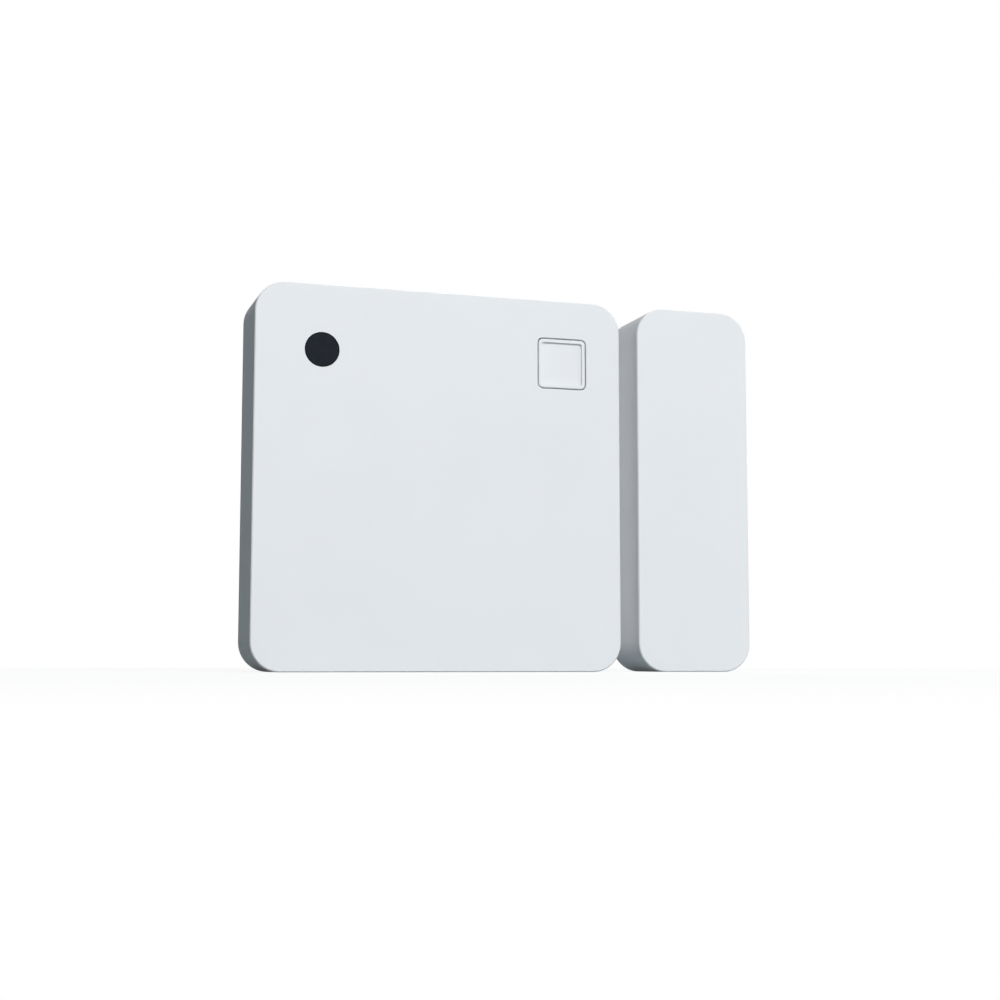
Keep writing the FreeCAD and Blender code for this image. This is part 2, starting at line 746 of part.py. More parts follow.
def negative_contact():
    """The plated ring on the board that the cell's cap rests against."""
    body = new_body("negative_contact")
    centre = ("cell_x", "cell_y")
    level = "board_back - contact_thickness"
    slab(body, "ring", circle("contact_diameter"), (*centre, level), "contact_thickness")
    hollow(body, "middle", circle("contact_hole"), (*centre, level), "contact_thickness")
    return body


def cell_can():
    """The coin cell's can, its edge turned in over the gasket."""
    body = new_body("cell_can")
    centre = ("cell_x", "cell_y")
    slab(body, "can", circle("cell_diameter"), (*centre, "cell_back"), "can_front - cell_back")
    soften(body, "base_edge", at_level("cell_back"), "cell_edge", "Chamfer")
    soften(body, "crimp_edge", at_level("can_front"), "cell_edge", "Chamfer")
    hollow(body, "inside", circle("can_bore"), (*centre, "cell_back + can_wall"),
           "can_front - cell_back - 2 * can_wall")
    hollow(body, "mouth", circle("can_mouth"), (*centre, "can_front - can_wall"), "can_wall")
    return body


def cell_gasket():
    """The ring that seals the cap in the can."""
    body = new_body("cell_gasket")
    centre = ("cell_x", "cell_y")
    slab(body, "ring", circle("can_bore"), (*centre, "cell_back + can_wall"),
         "can_front - cell_back - 2 * can_wall")
    slab(body, "lip", circle("can_mouth"), (*centre, "can_front - can_wall"), "can_wall")
    hollow(body, "bore", circle("cap_diameter"), (*centre, "cell_back + can_wall"),
           "can_front - cell_back - can_wall")
    return body


def cell_cap():
    """The coin cell's cap, the negative pole, which faces the board."""
    body = new_body("cell_cap")
    centre = ("cell_x", "cell_y")
    slab(body, "cap", circle("cap_diameter"), (*centre, "cap_edge"), "cell_front - cap_edge")
    soften(body, "cap_front_edge", at_level("cell_front"), "can_wall", "Chamfer")
    hollow(body, "inside", circle("cap_diameter - 2 * can_wall"), (*centre, "cap_edge"),
           "cell_front - can_wall - cap_edge")
    return body


def cell_filling():
    """What fills the coin cell: the two electrodes and the separator, as one pellet."""
    body = new_body("cell_filling")
    slab(body, "pellet", circle("cap_diameter - 2 * can_wall"), ("cell_x", "cell_y", "cell_back + can_wall"),
         "cell_front - cell_back - 2 * can_wall")
    return body


def chip(name, width, height, place, thickness):
    """A flat component on the back of the board."""
    body = new_body(name)
    slab(body, "case", rectangle(width, height), (*place, f"board_back - {thickness}"), thickness)
    soften(body, "case_edges", at_level(f"board_back - {thickness}"), "chip_edge", "Chamfer")
    return body


def front_chip(name, width, height, place, thickness):
    """A flat component on the front of the board."""
    body = new_body(name)
    slab(body, "case", rectangle(width, height), (*place, "board_front"), thickness)
    soften(body, "case_edges", at_level(f"board_front + {thickness}"), "chip_edge", "Chamfer")
    return body


def chip_row(name, x, y, count):
    """A row of small components on the back of the board, as separate solids. count names how many."""
    body = new_body(name)
    body.AllowCompound = True
    span = f"({count} - 1) * passive_pitch"
    first = slab(body, "piece", rectangle("passive_length", "passive_width"),
                 (x, f"{y} - ({span}) / 2", "board_back - passive_height"), "passive_height")
    array(body, "row", first, (("V_Axis", int(number(count)), span),))
    return body


def reed_glass():
    """The reed switch's glass tube, sealed round a wire at each end."""
    body = new_body("reed_glass")
    place = ("reed_x", "reed_length / 2", "reed_z")
    slab(body, "tube", circle("reed_diameter"), place, "reed_length", "XZ_Plane")
    soften(body, "ends", lambda edge: edge.BoundBox.YLength < NEAR, "reed_end", "Chamfer")
    hollow(body, "bore", circle("reed_bore"), ("reed_x", "reed_length / 2 - reed_seal", "reed_z"),
           "reed_length - 2 * reed_seal", "XZ_Plane")
    hollow(body, "wire_way", circle("reed_wire"), place, "reed_length", "XZ_Plane")
    return body


def primitive(kind, name, sizes, place, rotation=None):
    """A Part solid at place, three sums of sizes in the viewer's frame."""
    feature = doc.addObject(f"Part::{kind}", name)
    feature.Placement = FreeCAD.Placement(FreeCAD.Vector(), rotation or FreeCAD.Rotation())
    for size, text in sizes.items():
        bind(feature, size, text)
    for axis, text in zip("xyz", place):
        bind(feature, f"Placement.Base.{axis}", text)
    return feature


def reed_lead(name, side):
    """One wire of the reed switch: its flattened blade, the wire and the leg bent down to the board."""
    seal = "(reed_length / 2 - reed_seal)"
    end = "(reed_length / 2 + reed_lead)"
    high = side > 0
    sign = "" if high else "-"
    blade_start = "-blade_overlap / 2" if high else f"-{seal}"
    blade_level = "reed_z + blade_gap / 2" if high else "reed_z - blade_gap / 2 - blade_thickness"
    blade = primitive("Box", f"{name}_blade",
                      {"Length": "blade_width", "Width": f"{seal} + blade_overlap / 2",
                       "Height": "blade_thickness"},
                      ("reed_x - blade_width / 2", blade_start, blade_level))
    wire = primitive("Cylinder", f"{name}_wire",
                     {"Radius": "reed_wire / 2", "Height": f"{end} - {seal} + blade_root"},
                     ("reed_x", f"{seal} - blade_root" if high else f"-{end}", "reed_z"),
                     FreeCAD.Rotation(FreeCAD.Vector(1, 0, 0), -90))
    bend_place = ("reed_x", f"{sign}{end}", "reed_z")
    bend = primitive("Sphere", f"{name}_bend", {"Radius": "reed_wire / 2"}, bend_place)
    leg = primitive("Cylinder", f"{name}_leg", {"Radius": "reed_wire / 2", "Height": "board_back - reed_z"},
                    bend_place)
    return [blade, wire, bend, leg]


def reed_leads():
    """Both wires of the reed switch, blades apart, as two solids."""
    fuse = doc.addObject("Part::MultiFuse", "reed_leads")
    fuse.Label = "reed_leads"
    fuse.Shapes = reed_lead("upper", 1) + reed_lead("lower", -1)
    fuse.Placement = FreeCAD.Placement(FreeCAD.Vector(), STANDING)
    return fuse


def back_cover():
    """The sensor unit's back cover: snap prongs and the posts that hold the board forward."""
    body = new_body("back_cover")
    back_plate(body, "cover_width", "inner_width")
    places = (("reed_x", "clamp_from_middle"), ("reed_x", "-clamp_from_middle"), ("passives_x", "-clamp_low"))
    for k, (x, y) in enumerate(places):
        slab(body, f"clamp_{k}", circle("clamp_diameter"), (x, y, "cover_inside"),
             "board_back - cover_inside - cover_clearance")
    rows = int(number("stiffener_rows"))
    span = "(stiffener_rows - 1) * stiffener_pitch"
    first = slab(body, "stiffener", rectangle("stiffener_right - stiffener_left", "stiffener_width"),
                 ("(stiffener_left + stiffener_right) / 2", f"-{span} / 2", "cover_inside"),
                 "stiffener_height")
    array(body, "stiffeners", first, (("V_Axis", rows, span),))
    return body


def foam_pad(name, cover, x):
    """A foam pad, sticky on both faces, between a back cover and the wall."""
    body = new_body(name, x)
    outline = rounded(f"{cover} - 2 * pad_inset", "cover_height - 2 * pad_inset", "pad_radius")
    slab(body, "foam", outline, ("0", "0", "0"), "pad_thickness")
    return body


def magnet_housing():
    """The magnet unit's casing, with the cradle that the bar magnet is pressed into."""
    body = new_body("magnet_housing", "magnet_x")
    casing(body, "magnet_width", "magnet_inner")
    for name, y in (("low", "-(bar_length / 2 - cradle_length)"), ("high", "bar_length / 2 - cradle_length")):
        slab(body, f"seat_{name}", rectangle("bar_width", "bar_seat_width"), ("0", y, "bar_front"),
             "bar_seat")
        wall = slab(body, f"cradle_{name}", rectangle("cradle_wall", "cradle_length"),
                    ("(bar_width + cradle_wall) / 2 + bar_clearance", y, "front_inside - cradle_height"),
                    "cradle_height")
        mirrored(body, f"cradle_{name}_left", [wall], "YZ_Plane")
    return body


def bar_magnet():
    """The magnet that closes the reed switch when the door is shut."""
    body = new_body("bar_magnet", "magnet_x")
    slab(body, "bar", rectangle("bar_width", "bar_length"), ("0", "0", "bar_back"), "bar_thickness")
    soften(body, "bar_edges", lambda edge: True, "bar_edge", "Chamfer")
    return body


def magnet_back_cover():
    """The magnet unit's back cover, with two rests that hold the bar in its cradle."""
    body = new_body("magnet_back_cover", "magnet_x")
    back_plate(body, "magnet_cover_width", "magnet_inner")
    rest = slab(body, "rest", rectangle("bar_width / 2", "bar_seat_width"),
                ("0", "bar_length / 2 - cradle_length", "cover_inside"),
                "bar_back - cover_inside - bar_clearance")
    mirrored(body, "rest_low", [rest], "XZ_Plane")
    return body


def make_all():
    """Every piece of the object, in the order of the list in the report."""
    radio = ("chips_x", "radio_y")
    lamp_x = "window_x + (led_gap + led_width) / 2"
    light_x = "window_x - (led_gap + light_chip_length) / 2"
    beside_radio = "(chips_x + radio_width / 2 + reed_x - reed_diameter / 2) / 2"
    return [
        front_housing(),
        light_window(),
        control_button(),
        switch_base(),
        switch_plate(),
        switch_plunger(),
        switch_dome(),
        switch_terminals(),
        circuit_board(),
        front_chip("light_chip", "light_chip_length", "light_chip_width", (light_x, "controls_y"),
                   "light_chip_height"),
        front_chip("status_lamp", "led_width", "led_length", (lamp_x, "controls_y"), "led_height"),
        chip("radio_chip", "radio_width", "radio_width", radio, "radio_height"),
        chip("crystal", "crystal_length", "crystal_width", ("chips_x", "crystal_y"), "crystal_height"),
        chip("tilt_chip", "tilt_width", "tilt_width", ("chips_x", "tilt_y"), "tilt_height"),
        chip("reservoir_capacitor", "reservoir_length", "reservoir_width", ("chips_x", "reservoir_y"),
             "reservoir_height"),
        chip("chip_antenna", "antenna_length", "antenna_width", ("antenna_x", "antenna_y"), "antenna_height"),
        chip_row("chip_capacitors", "passives_x", "radio_y", "capacitors"),
        chip_row("chip_resistors", beside_radio, "radio_y", "resistors"),
        reed_glass(),
        reed_leads(),
        cell_clip(),
        negative_contact(),
        cell_can(),
        cell_gasket(),
        cell_cap(),
        cell_filling(),
        back_cover(),
        foam_pad("sensor_pad", "cover_width", "0"),
        magnet_housing(),
        bar_magnet(),
        magnet_back_cover(),
        foam_pad("magnet_pad", "magnet_cover_width", "magnet_x"),
    ]


def export(pieces):
    """Writes one STEP file for each piece, after a check of every feature."""
    doc.recompute()
    for item in doc.Objects:
        if "Invalid" in item.State or "Error" in item.State:
            raise RuntimeError(f"{item.Label} could not be made: {item.State}")
    os.makedirs("parts", exist_ok=True)
    for piece in pieces:
        shape = piece.Shape
        if shape.isNull() or not shape.isValid() or not shape.Solids:
            raise RuntimeError(f"{piece.Label} has no sound shape")
        shape.exportStep(f"parts/{piece.Label}.step")


export(make_all())
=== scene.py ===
"""Visual model of a door and window sensor with tilt sensing, and of its magnet unit.

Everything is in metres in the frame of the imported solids: +X to the viewer's right, +Y into the
wall and +Z up. The solids stay as they are and get their finishes here. What is too fine for
them, such as tracks, solder, end caps and the skins of the foam pads, is modelled round them.
"""

import logging
import math
from abc import ABC, abstractmethod
from collections.abc import Callable, Iterator
from contextlib import contextmanager
from dataclasses import dataclass
from enum import Enum, IntEnum
from typing import ClassVar

import bmesh
import bpy
from mathutils import Matrix, Vector


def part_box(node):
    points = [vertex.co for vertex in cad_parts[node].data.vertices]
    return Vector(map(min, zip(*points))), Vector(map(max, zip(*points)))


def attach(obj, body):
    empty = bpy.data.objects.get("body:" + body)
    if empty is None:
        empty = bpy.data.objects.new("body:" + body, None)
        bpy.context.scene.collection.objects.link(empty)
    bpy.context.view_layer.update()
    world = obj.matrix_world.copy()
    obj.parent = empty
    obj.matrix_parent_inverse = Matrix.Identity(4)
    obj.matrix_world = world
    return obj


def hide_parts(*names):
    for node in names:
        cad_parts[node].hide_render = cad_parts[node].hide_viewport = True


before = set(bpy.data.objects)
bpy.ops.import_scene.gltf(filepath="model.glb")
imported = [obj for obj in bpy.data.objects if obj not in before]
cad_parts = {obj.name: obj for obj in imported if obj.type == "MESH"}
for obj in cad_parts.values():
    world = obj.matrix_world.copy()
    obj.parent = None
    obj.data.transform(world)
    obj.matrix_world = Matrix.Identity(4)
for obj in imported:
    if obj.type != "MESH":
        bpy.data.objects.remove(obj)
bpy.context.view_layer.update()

LOG = logging.getLogger("door_sensor")
MM = 0.001
WAVE_UNIT = math.pi / 10  # a wave texture's pitch in metres at a scale of one
MIX_INPUTS = (0, 6, 7)  # where a colour mix takes its share, its first and its second colour
MIX_RESULT = 2  # where it gives the mixed colour
MIDDLE_RANGE = (0.3, 0.7)  # where most of a noise pattern's values lie
SMOOTH_BELOW = math.radians(32)  # edges flatter than this are shaded smooth

Colour = tuple[float, float, float]
Point = tuple[float, float, float]
Pair = tuple[float, float]
FaceTest = Callable[[bmesh.types.BMFace], bool]
EdgeTest = Callable[[bmesh.types.BMEdge], bool]

WHITE: Colour = (1.0, 1.0, 1.0)


class Axis(IntEnum):
    """The axes of the frame."""

    X = 0
    Y = 1
    Z = 2


class Ease(Enum):
    """How a number runs from one end of a range to the other."""

    STRAIGHT = "LINEAR"
    SMOOTH = "SMOOTHSTEP"


class Body(Enum):
    """The bodies that pieces ride on."""

    WALL_BASE = "wall_base"
    SENSOR_HOUSING = "sensor_housing"
    CELL = "cell"
    MAGNET_UNIT = "magnet_unit"


class Slot(Enum):
    """The record's material slots. No piece here is given one."""

    BOARD = "board_green"
    CHIP = "chip_black"
    TIN = "tin_bright"
    CAN = "can_steel"
    GOLD = "gold_contact"
    ANTENNA = "ceramic_white"
    TANTALUM = "tantalum_yellow"
    SWITCH = "switch_black"
    MAGNET = "magnet_grey"
    FOAM = "foam_grey"


def scaled(values: Colour, by: float) -> Colour:
    """The three numbers, each multiplied by the same factor."""
    return tuple(v * by for v in values)


def mm(*values: float) -> Vector:
    """A place or size given in millimetres."""
    return Vector(values) * MM


@dataclass(frozen=True)
class Room:
    """The box that a CAD node fills."""

    low: Vector
    high: Vector

    @classmethod
    def of(cls, node: str) -> "Room":
        """The box of the node with that name."""
        return cls(*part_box(node))

    @property
    def centre(self) -> Vector:
        """The middle of the box."""
        return (self.low + self.high) / 2

    @property
    def size(self) -> Vector:
        """Its three lengths."""
        return self.high - self.low


class NodeTree:
    """A tree of shader nodes, with short ways to add them, join them and mix what they give."""

    def __init__(self, tree: bpy.types.NodeTree) -> None:
        """Starts with the tree empty."""
        self.tree = tree
        tree.nodes.clear()

    def feed(self, node: bpy.types.Node, into: str | int, value: object) -> None:
        """Sets a node's input, or joins another node's output to it.

        Args:
            node: the node.
            into: the name of its input, or its place among the inputs.
            value: the number, vector or colour that it is set to, or the output that feeds it.
        """
        target = node.inputs[into]
        if isinstance(value, bpy.types.NodeSocket):
            self.tree.links.new(value, target)
        elif target.type == "RGBA":
            target.default_value = (*value, 1.0)
        else:
            target.default_value = value

    def add(self, kind: str, **values: object) -> bpy.types.Node:
        """Adds a node.

        Args:
            kind: the node's type, without its ShaderNode prefix.
            values: what its properties are set to, or else its inputs of the same name.

        Returns:
            The new node.
        """
        node = self.tree.nodes.new(f"ShaderNode{kind}")
        for name, value in values.items():
            if hasattr(node, name):
                setattr(node, name, value)
            else:
                self.feed(node, name.replace("_", " "), value)
        return node

    def maths(self, operation: str, *terms: float | bpy.types.NodeSocket) -> bpy.types.NodeSocket:
        """Works out one number from others.

        Args:
            operation: what is done with them.
            terms: numbers, or outputs that give numbers.

        Returns:
            The output that gives the result.
        """
        node = self.add("Math", operation=operation)
        for k, term in enumerate(terms):
            self.feed(node, k, term)
        return node.outputs["Value"]

    def moved(
        self, value: bpy.types.NodeSocket, old: Pair, new: Pair, ease: Ease = Ease.STRAIGHT
    ) -> bpy.types.NodeSocket:
        """Moves a number from one range to another.

        Args:
            value: the output that gives the number.
            old: the range that it comes from.
            new: the range that it goes to.
            ease: how it runs between the ends.

        Returns:
            The output that gives the moved number.
        """
        node = self.add("MapRange", interpolation_type=ease.value, Value=value)
        ends = {"From Min": old[0], "From Max": old[1], "To Min": new[0], "To Max": new[1]}
        for into, end in ends.items():
            self.feed(node, into, end)
        return node.outputs["Result"]

    def tint(
        self, share: bpy.types.NodeSocket, first: Colour, second: Colour | bpy.types.NodeSocket
    ) -> bpy.types.NodeSocket:
        """Mixes two colours by a pattern.

        Args:
            share: how much of the second colour there is.
            first: the first colour.
            second: the second colour, or the output that gives it.

        Returns:
            The output that gives the mix.
        """
        node = self.add("Mix", data_type="RGBA")
        for into, value in zip(MIX_INPUTS, (share, first, second)):
            self.feed(node, into, value)
        return node.outputs[MIX_RESULT]

    def blend(
        self, share: bpy.types.NodeSocket, first: bpy.types.NodeSocket, second: bpy.types.NodeSocket
    ) -> bpy.types.NodeSocket:
        """Mixes two shaders.

        Args:
            share: how much of the second shader there is.
            first: the first shader's output.
            second: the second shader's output.

        Returns:
            The mixed shader's output.
        """
        node = self.add("MixShader")
        for into, value in enumerate((share, first, second)):
            self.feed(node, into, value)
        return node.outputs["Shader"]


class Surface(NodeTree):
    """The node tree of one material, round a Principled shader."""

    def __init__(self, name: str) -> None:
        """Makes the material, with nothing but its shader, its output and its coordinates.

        Args:
            name: the material's name.
        """
        self.material = bpy.data.materials.new(name)
        self.material.use_nodes = True
        super().__init__(self.material.node_tree)
        self.shader = self.add("BsdfPrincipled")
        self.output = self.add("OutputMaterial", Surface=self.shader.outputs["BSDF"])
        self.place = self.add("TexCoord")

    def set(self, **values: object) -> None:
        """Sets inputs of the shader, or feeds them from outputs."""
        for name, value in values.items():
            self.feed(self.shader, name.replace("_", " "), value)

    def noise(
        self, size: float, detail: float = 2.0, stretch: Point = (1.0, 1.0, 1.0)
    ) -> bpy.types.NodeSocket:
        """Makes a noise pattern on the piece itself.

        Args:
            size: width of its grains, in metres.
            detail: how many finer levels it has.
            stretch: how many times denser it is along each axis.

        Returns:
            The output that gives the pattern.
        """
        at = self.add("Mapping", vector_type="POINT", Vector=self.place.outputs["Object"], Scale=stretch)
        grains = self.add("TexNoise", Vector=at.outputs["Vector"], Scale=1.0 / size, Detail=detail)
        return grains.outputs["Fac"]

    def weave(self, pitch: float) -> bpy.types.NodeSocket:
        """Makes the threads of glass cloth: waves along X and along Z, multiplied.

        Args:
            pitch: distance between threads, in metres.

        Returns:
            The output that gives the pattern.
        """
        threads = []
        for axis in ("X", "Z"):
            wave = self.add("TexWave", wave_type="BANDS", bands_direction=axis, Scale=WAVE_UNIT / pitch)
            self.feed(wave, "Vector", self.place.outputs["Object"])
            threads.append(wave.outputs["Fac"])
        return self.maths("MULTIPLY", *threads)

    def spread(self, pattern: bpy.types.NodeSocket, low: float, high: float) -> bpy.types.NodeSocket:
        """The pattern's middle range, spread from low to high."""
        return self.moved(pattern, MIDDLE_RANGE, (low, high))

    def around(self, pattern: bpy.types.NodeSocket, middle: float, by: float) -> bpy.types.NodeSocket:
        """A number that the pattern moves as far above its middle value as below."""
        return self.spread(pattern, middle - by, middle + by)

    def clouded(self, pattern: bpy.types.NodeSocket, colour: Colour, shift: float) -> bpy.types.NodeSocket:
        """A colour that the pattern shades towards that colour multiplied by shift."""
        return self.tint(self.spread(pattern, 0.0, 1.0), colour, scaled(colour, shift))

    def bump(
        self, pattern: bpy.types.NodeSocket, height: float, under: bpy.types.NodeSocket | None = None
    ) -> bpy.types.NodeSocket:
        """Bumps the surface by a pattern.

        Args:
            pattern: the output that gives the pattern.
            height: how high the pattern stands, in metres.
            under: a coarser bump that this one lies on.

        Returns:
            The output that gives the bumped surface's direction.
        """
        node = self.add("Bump", Strength=1.0, Distance=height, Height=pattern)
        if under is not None:
            self.feed(node, "Normal", under)
        return node.outputs["Normal"]


class Finish(ABC):
    """A named surface that can be built as a material."""

    name: str

    @abstractmethod
    def lay_on(self, nodes: Surface) -> None:
        """Feeds the shader of a material with this finish."""

    def material(self) -> bpy.types.Material:
        """Gives the finish as a material, which is built only once.

        Returns:
            The material.
        """
        made = bpy.data.materials.get(self.name)
        if made is None:
            nodes = Surface(self.name)
            self.lay_on(nodes)
            made = nodes.material
        return made


@dataclass(frozen=True)
class MouldedPlastic(Finish):
    """Injection-moulded plastic: a faint cloudiness and the fine grain of its mould."""

    name: str
    colour: Colour
    roughness: float = 0.42
    unevenness: float = 0.04
    grain: float = 0.09 * MM
    grain_height: float = 0.0012 * MM
    cloud: float = 9.0 * MM
    shift: float = 0.97
    specular: float = 0.45

    def lay_on(self, nodes: Surface) -> None:
        """Feeds the shader of a material with this finish.

        Args:
            nodes: the material's nodes.
        """
        grain = nodes.noise(self.grain, detail=3.0)
        nodes.set(
            Base_Color=nodes.clouded(nodes.noise(self.cloud, detail=1.0), self.colour, self.shift),
            Roughness=nodes.around(grain, self.roughness, self.unevenness),
            Normal=nodes.bump(grain, self.grain_height),
            Specular_IOR_Level=self.specular,
        )


@dataclass(frozen=True)
class DarkPane(Finish):
    """Deep-tinted clear plastic that looks black, with the haze of fine wiping marks."""

    name: str
    colour: Colour
    haze: float = 0.6 * MM
    haze_shift: float = 1.5
    wiping: float = 0.12 * MM
    wiping_way: Point = (1.0, 1.0, 6.0)
    wiping_height: float = 0.00015 * MM
    roughness: float = 0.1
    unevenness: float = 0.03
    specular: float = 0.13

    def lay_on(self, nodes: Surface) -> None:
        """Feeds the shader of a material with this finish.

        Args:
            nodes: the material's nodes.
        """
        wiped = nodes.noise(self.wiping, detail=3.0, stretch=self.wiping_way)
        nodes.set(
            Base_Color=nodes.clouded(nodes.noise(self.haze, detail=4.0), self.colour, self.haze_shift),
            Roughness=nodes.around(wiped, self.roughness, self.unevenness),
            Normal=nodes.bump(wiped, self.wiping_height),
            Specular_IOR_Level=self.specular,
        )


@dataclass(frozen=True)
class BoardLacquer(Finish):
    """Green solder mask over glass weave, with the bare laminate on the board's cut edges."""

    name: str
    colour: Colour
    edge: Colour = (0.36, 0.33, 0.17)
    cloud: float = 2.5 * MM
    shift: float = 0.88
    weave: float = 0.45 * MM
    weave_height: float = 0.002 * MM
    patch: float = 0.5 * MM
    roughness: float = 0.3
    unevenness: float = 0.03
    coat: float = 0.35
    coat_roughness: float = 0.12

    def lay_on(self, nodes: Surface) -> None:
        """Feeds the shader of a material with this finish.

        Args:
            nodes: the material's nodes.
        """
        mask = nodes.clouded(nodes.noise(self.cloud, detail=3.0), self.colour, self.shift)
        facing_way = nodes.add("SeparateXYZ", Vector=nodes.place.outputs["Normal"])
        on_face = nodes.maths("ABSOLUTE", facing_way.outputs["Y"])
        nodes.set(
            Base_Color=nodes.tint(on_face, self.edge, mask),
            Roughness=nodes.around(nodes.noise(self.patch, detail=3.0), self.roughness, self.unevenness),
            Normal=nodes.bump(nodes.weave(self.weave), self.weave_height),
            Coat_Weight=self.coat,
            Coat_Roughness=self.coat_roughness,
        )


class Streak(Enum):
    """Which way a metal was worked, as how much denser its streaks are along each axis."""

    NONE = (1.0, 1.0, 1.0)
    UPRIGHT = (14.0, 14.0, 1.0)
    ACROSS = (1.0, 14.0, 14.0)


@dataclass(frozen=True)
class Metal(Finish):
    """Bare or plated metal, with streaks or grain of its working and slight staining."""

    name: str
    colour: Colour
    roughness: float = 0.28
    unevenness: float = 0.05
    grain: float = 0.25 * MM
    streak: Streak = Streak.NONE
    grain_height: float = 0.0005 * MM
    cloud: float = 3.0 * MM
    stain: float = 0.86

    def lay_on(self, nodes: Surface) -> None:
        """Feeds the shader of a material with this finish.

        Args:
            nodes: the material's nodes.
        """
        grain = nodes.noise(self.grain, detail=4.0, stretch=self.streak.value)
        nodes.set(
            Metallic=1.0,
            Base_Color=nodes.clouded(nodes.noise(self.cloud, detail=4.0), self.colour, self.stain),
            Roughness=nodes.around(grain, self.roughness, self.unevenness),
            Normal=nodes.bump(grain, self.grain_height),
        )


@dataclass(frozen=True)
class TurnedMetal(Finish):
    """Plated sheet with the fine rings of its pressing round one node's axis, and light scratches."""

    name: str
    colour: Colour
    node: str
    roughness: float = 0.24
    unevenness: float = 0.03
    ring: float = 0.16 * MM
    ring_height: float = 0.0002 * MM
    ring_wander: float = 0.6
    scratch: float = 0.35 * MM
    scratch_way: Point = (1.0, 1.0, 9.0)
    scratch_height: float = 0.0005 * MM
    cloud: float = 4.0 * MM
    stain: float = 0.94

    def lay_on(self, nodes: Surface) -> None:
        """Feeds the shader of a material with this finish.

        Args:
            nodes: the material's nodes.
        """
        centred = nodes.add("Mapping", vector_type="POINT", Vector=nodes.place.outputs["Object"])
        nodes.feed(centred, "Location", -Room.of(self.node).centre)
        wave = nodes.add("TexWave", wave_type="RINGS", rings_direction="Y", Vector=centred.outputs["Vector"])
        nodes.feed(wave, "Scale", WAVE_UNIT / self.ring)
        nodes.feed(wave, "Distortion", self.ring_wander)
        rings = wave.outputs["Fac"]
        scratches = nodes.noise(self.scratch, detail=5.0, stretch=self.scratch_way)
        nodes.set(
            Metallic=1.0,
            Base_Color=nodes.clouded(nodes.noise(self.cloud, detail=2.0), self.colour, self.stain),
            Roughness=nodes.around(rings, self.roughness, self.unevenness),
            Normal=nodes.bump(scratches, self.scratch_height, under=nodes.bump(rings, self.ring_height)),
        )


@dataclass(frozen=True)
class Mineral(Finish):
    """Opaque ceramic, moulded epoxy, ferrite or pressed powder: speckled, with a fine tooth."""

    name: str
    colour: Colour
    speckle: Colour
    roughness: float = 0.6
    unevenness: float = 0.08
    grain: float = 0.08 * MM
    grain_height: float = 0.004 * MM
    patch_in_grains: float = 3.0
    specular: float = 0.4

    def lay_on(self, nodes: Surface) -> None:
        """Feeds the shader of a material with this finish.

        Args:
            nodes: the material's nodes.
        """
        grain = nodes.noise(self.grain, detail=4.0)
        patches = nodes.noise(self.grain * self.patch_in_grains, detail=3.0)
        nodes.set(
            Base_Color=nodes.tint(nodes.spread(grain, 0.0, 1.0), self.colour, self.speckle),
            Roughness=nodes.around(patches, self.roughness, self.unevenness),
            Normal=nodes.bump(grain, self.grain_height),
            Specular_IOR_Level=self.specular,
        )


@dataclass(frozen=True)
class Clear(Finish):
    """Clear glass or cast epoxy, with faint streaks in its surface."""

    name: str
    colour: Colour
    index: float = 1.5
    roughness: float = 0.05
    unevenness: float = 0.02
    through: float = 1.0
    streak: float = 0.8 * MM
    streak_way: Point = (3.0, 3.0, 1.0)
    streak_height: float = 0.0008 * MM
    shift: float = 0.95

    def lay_on(self, nodes: Surface) -> None:
        """Feeds the shader of a material with this finish.

        Args:
            nodes: the material's nodes.
        """
        streaks = nodes.noise(self.streak, detail=3.0, stretch=self.streak_way)
        nodes.set(
            Base_Color=nodes.clouded(streaks, self.colour, self.shift),
            Roughness=nodes.around(streaks, self.roughness, self.unevenness),
            Normal=nodes.bump(streaks, self.streak_height),
            IOR=self.index,
            Transmission_Weight=self.through,
        )


@dataclass(frozen=True)
class CellFoam(Finish):
    """Closed-cell foam: small round cells that show where it is cut."""

    name: str
    colour: Colour
    cell: float = 0.13 * MM
    cell_depth: float = 0.02 * MM
    shade: float = 0.86
    patch: float = 0.4 * MM
    roughness: float = 0.86
    unevenness: float = 0.06
    specular: float = 0.25

    def lay_on(self, nodes: Surface) -> None:
        """Feeds the shader of a material with this finish.

        Args:
            nodes: the material's nodes.
        """
        voronoi = nodes.add("TexVoronoi", feature="F1", Vector=nodes.place.outputs["Object"])
        nodes.feed(voronoi, "Scale", 1.0 / self.cell)
        cells = voronoi.outputs["Distance"]
        walls = nodes.spread(cells, 1.0, 0.0)
        nodes.set(
            Base_Color=nodes.tint(walls, scaled(self.colour, self.shade), self.colour),
            Roughness=nodes.around(nodes.noise(self.patch, detail=3.0), self.roughness, self.unevenness),
            Normal=nodes.bump(cells, self.cell_depth),
            Specular_IOR_Level=self.specular,
        )


@dataclass(frozen=True)
class StickyFilm(Finish):
    """The adhesive on a foam pad: a shiny skin, slightly uneven over the foam's cells."""

    name: str
    colour: Colour
    wave: float = 1.6 * MM
    shift: float = 0.97
    peel: float = 0.45 * MM
    peel_height: float = 0.003 * MM
    roughness: float = 0.3
    unevenness: float = 0.08
    coat: float = 0.4
    coat_roughness: float = 0.2

    def lay_on(self, nodes: Surface) -> None:
        """Feeds the shader of a material with this finish.

        Args:
            nodes: the material's nodes.
        """
        orange_peel = nodes.noise(self.peel, detail=2.0)
        nodes.set(
            Base_Color=nodes.clouded(nodes.noise(self.wave, detail=3.0), self.colour, self.shift),
            Roughness=nodes.around(orange_peel, self.roughness, self.unevenness),
            Normal=nodes.bump(orange_peel, self.peel_height),
            Coat_Weight=self.coat,
            Coat_Roughness=self.coat_roughness,
        )


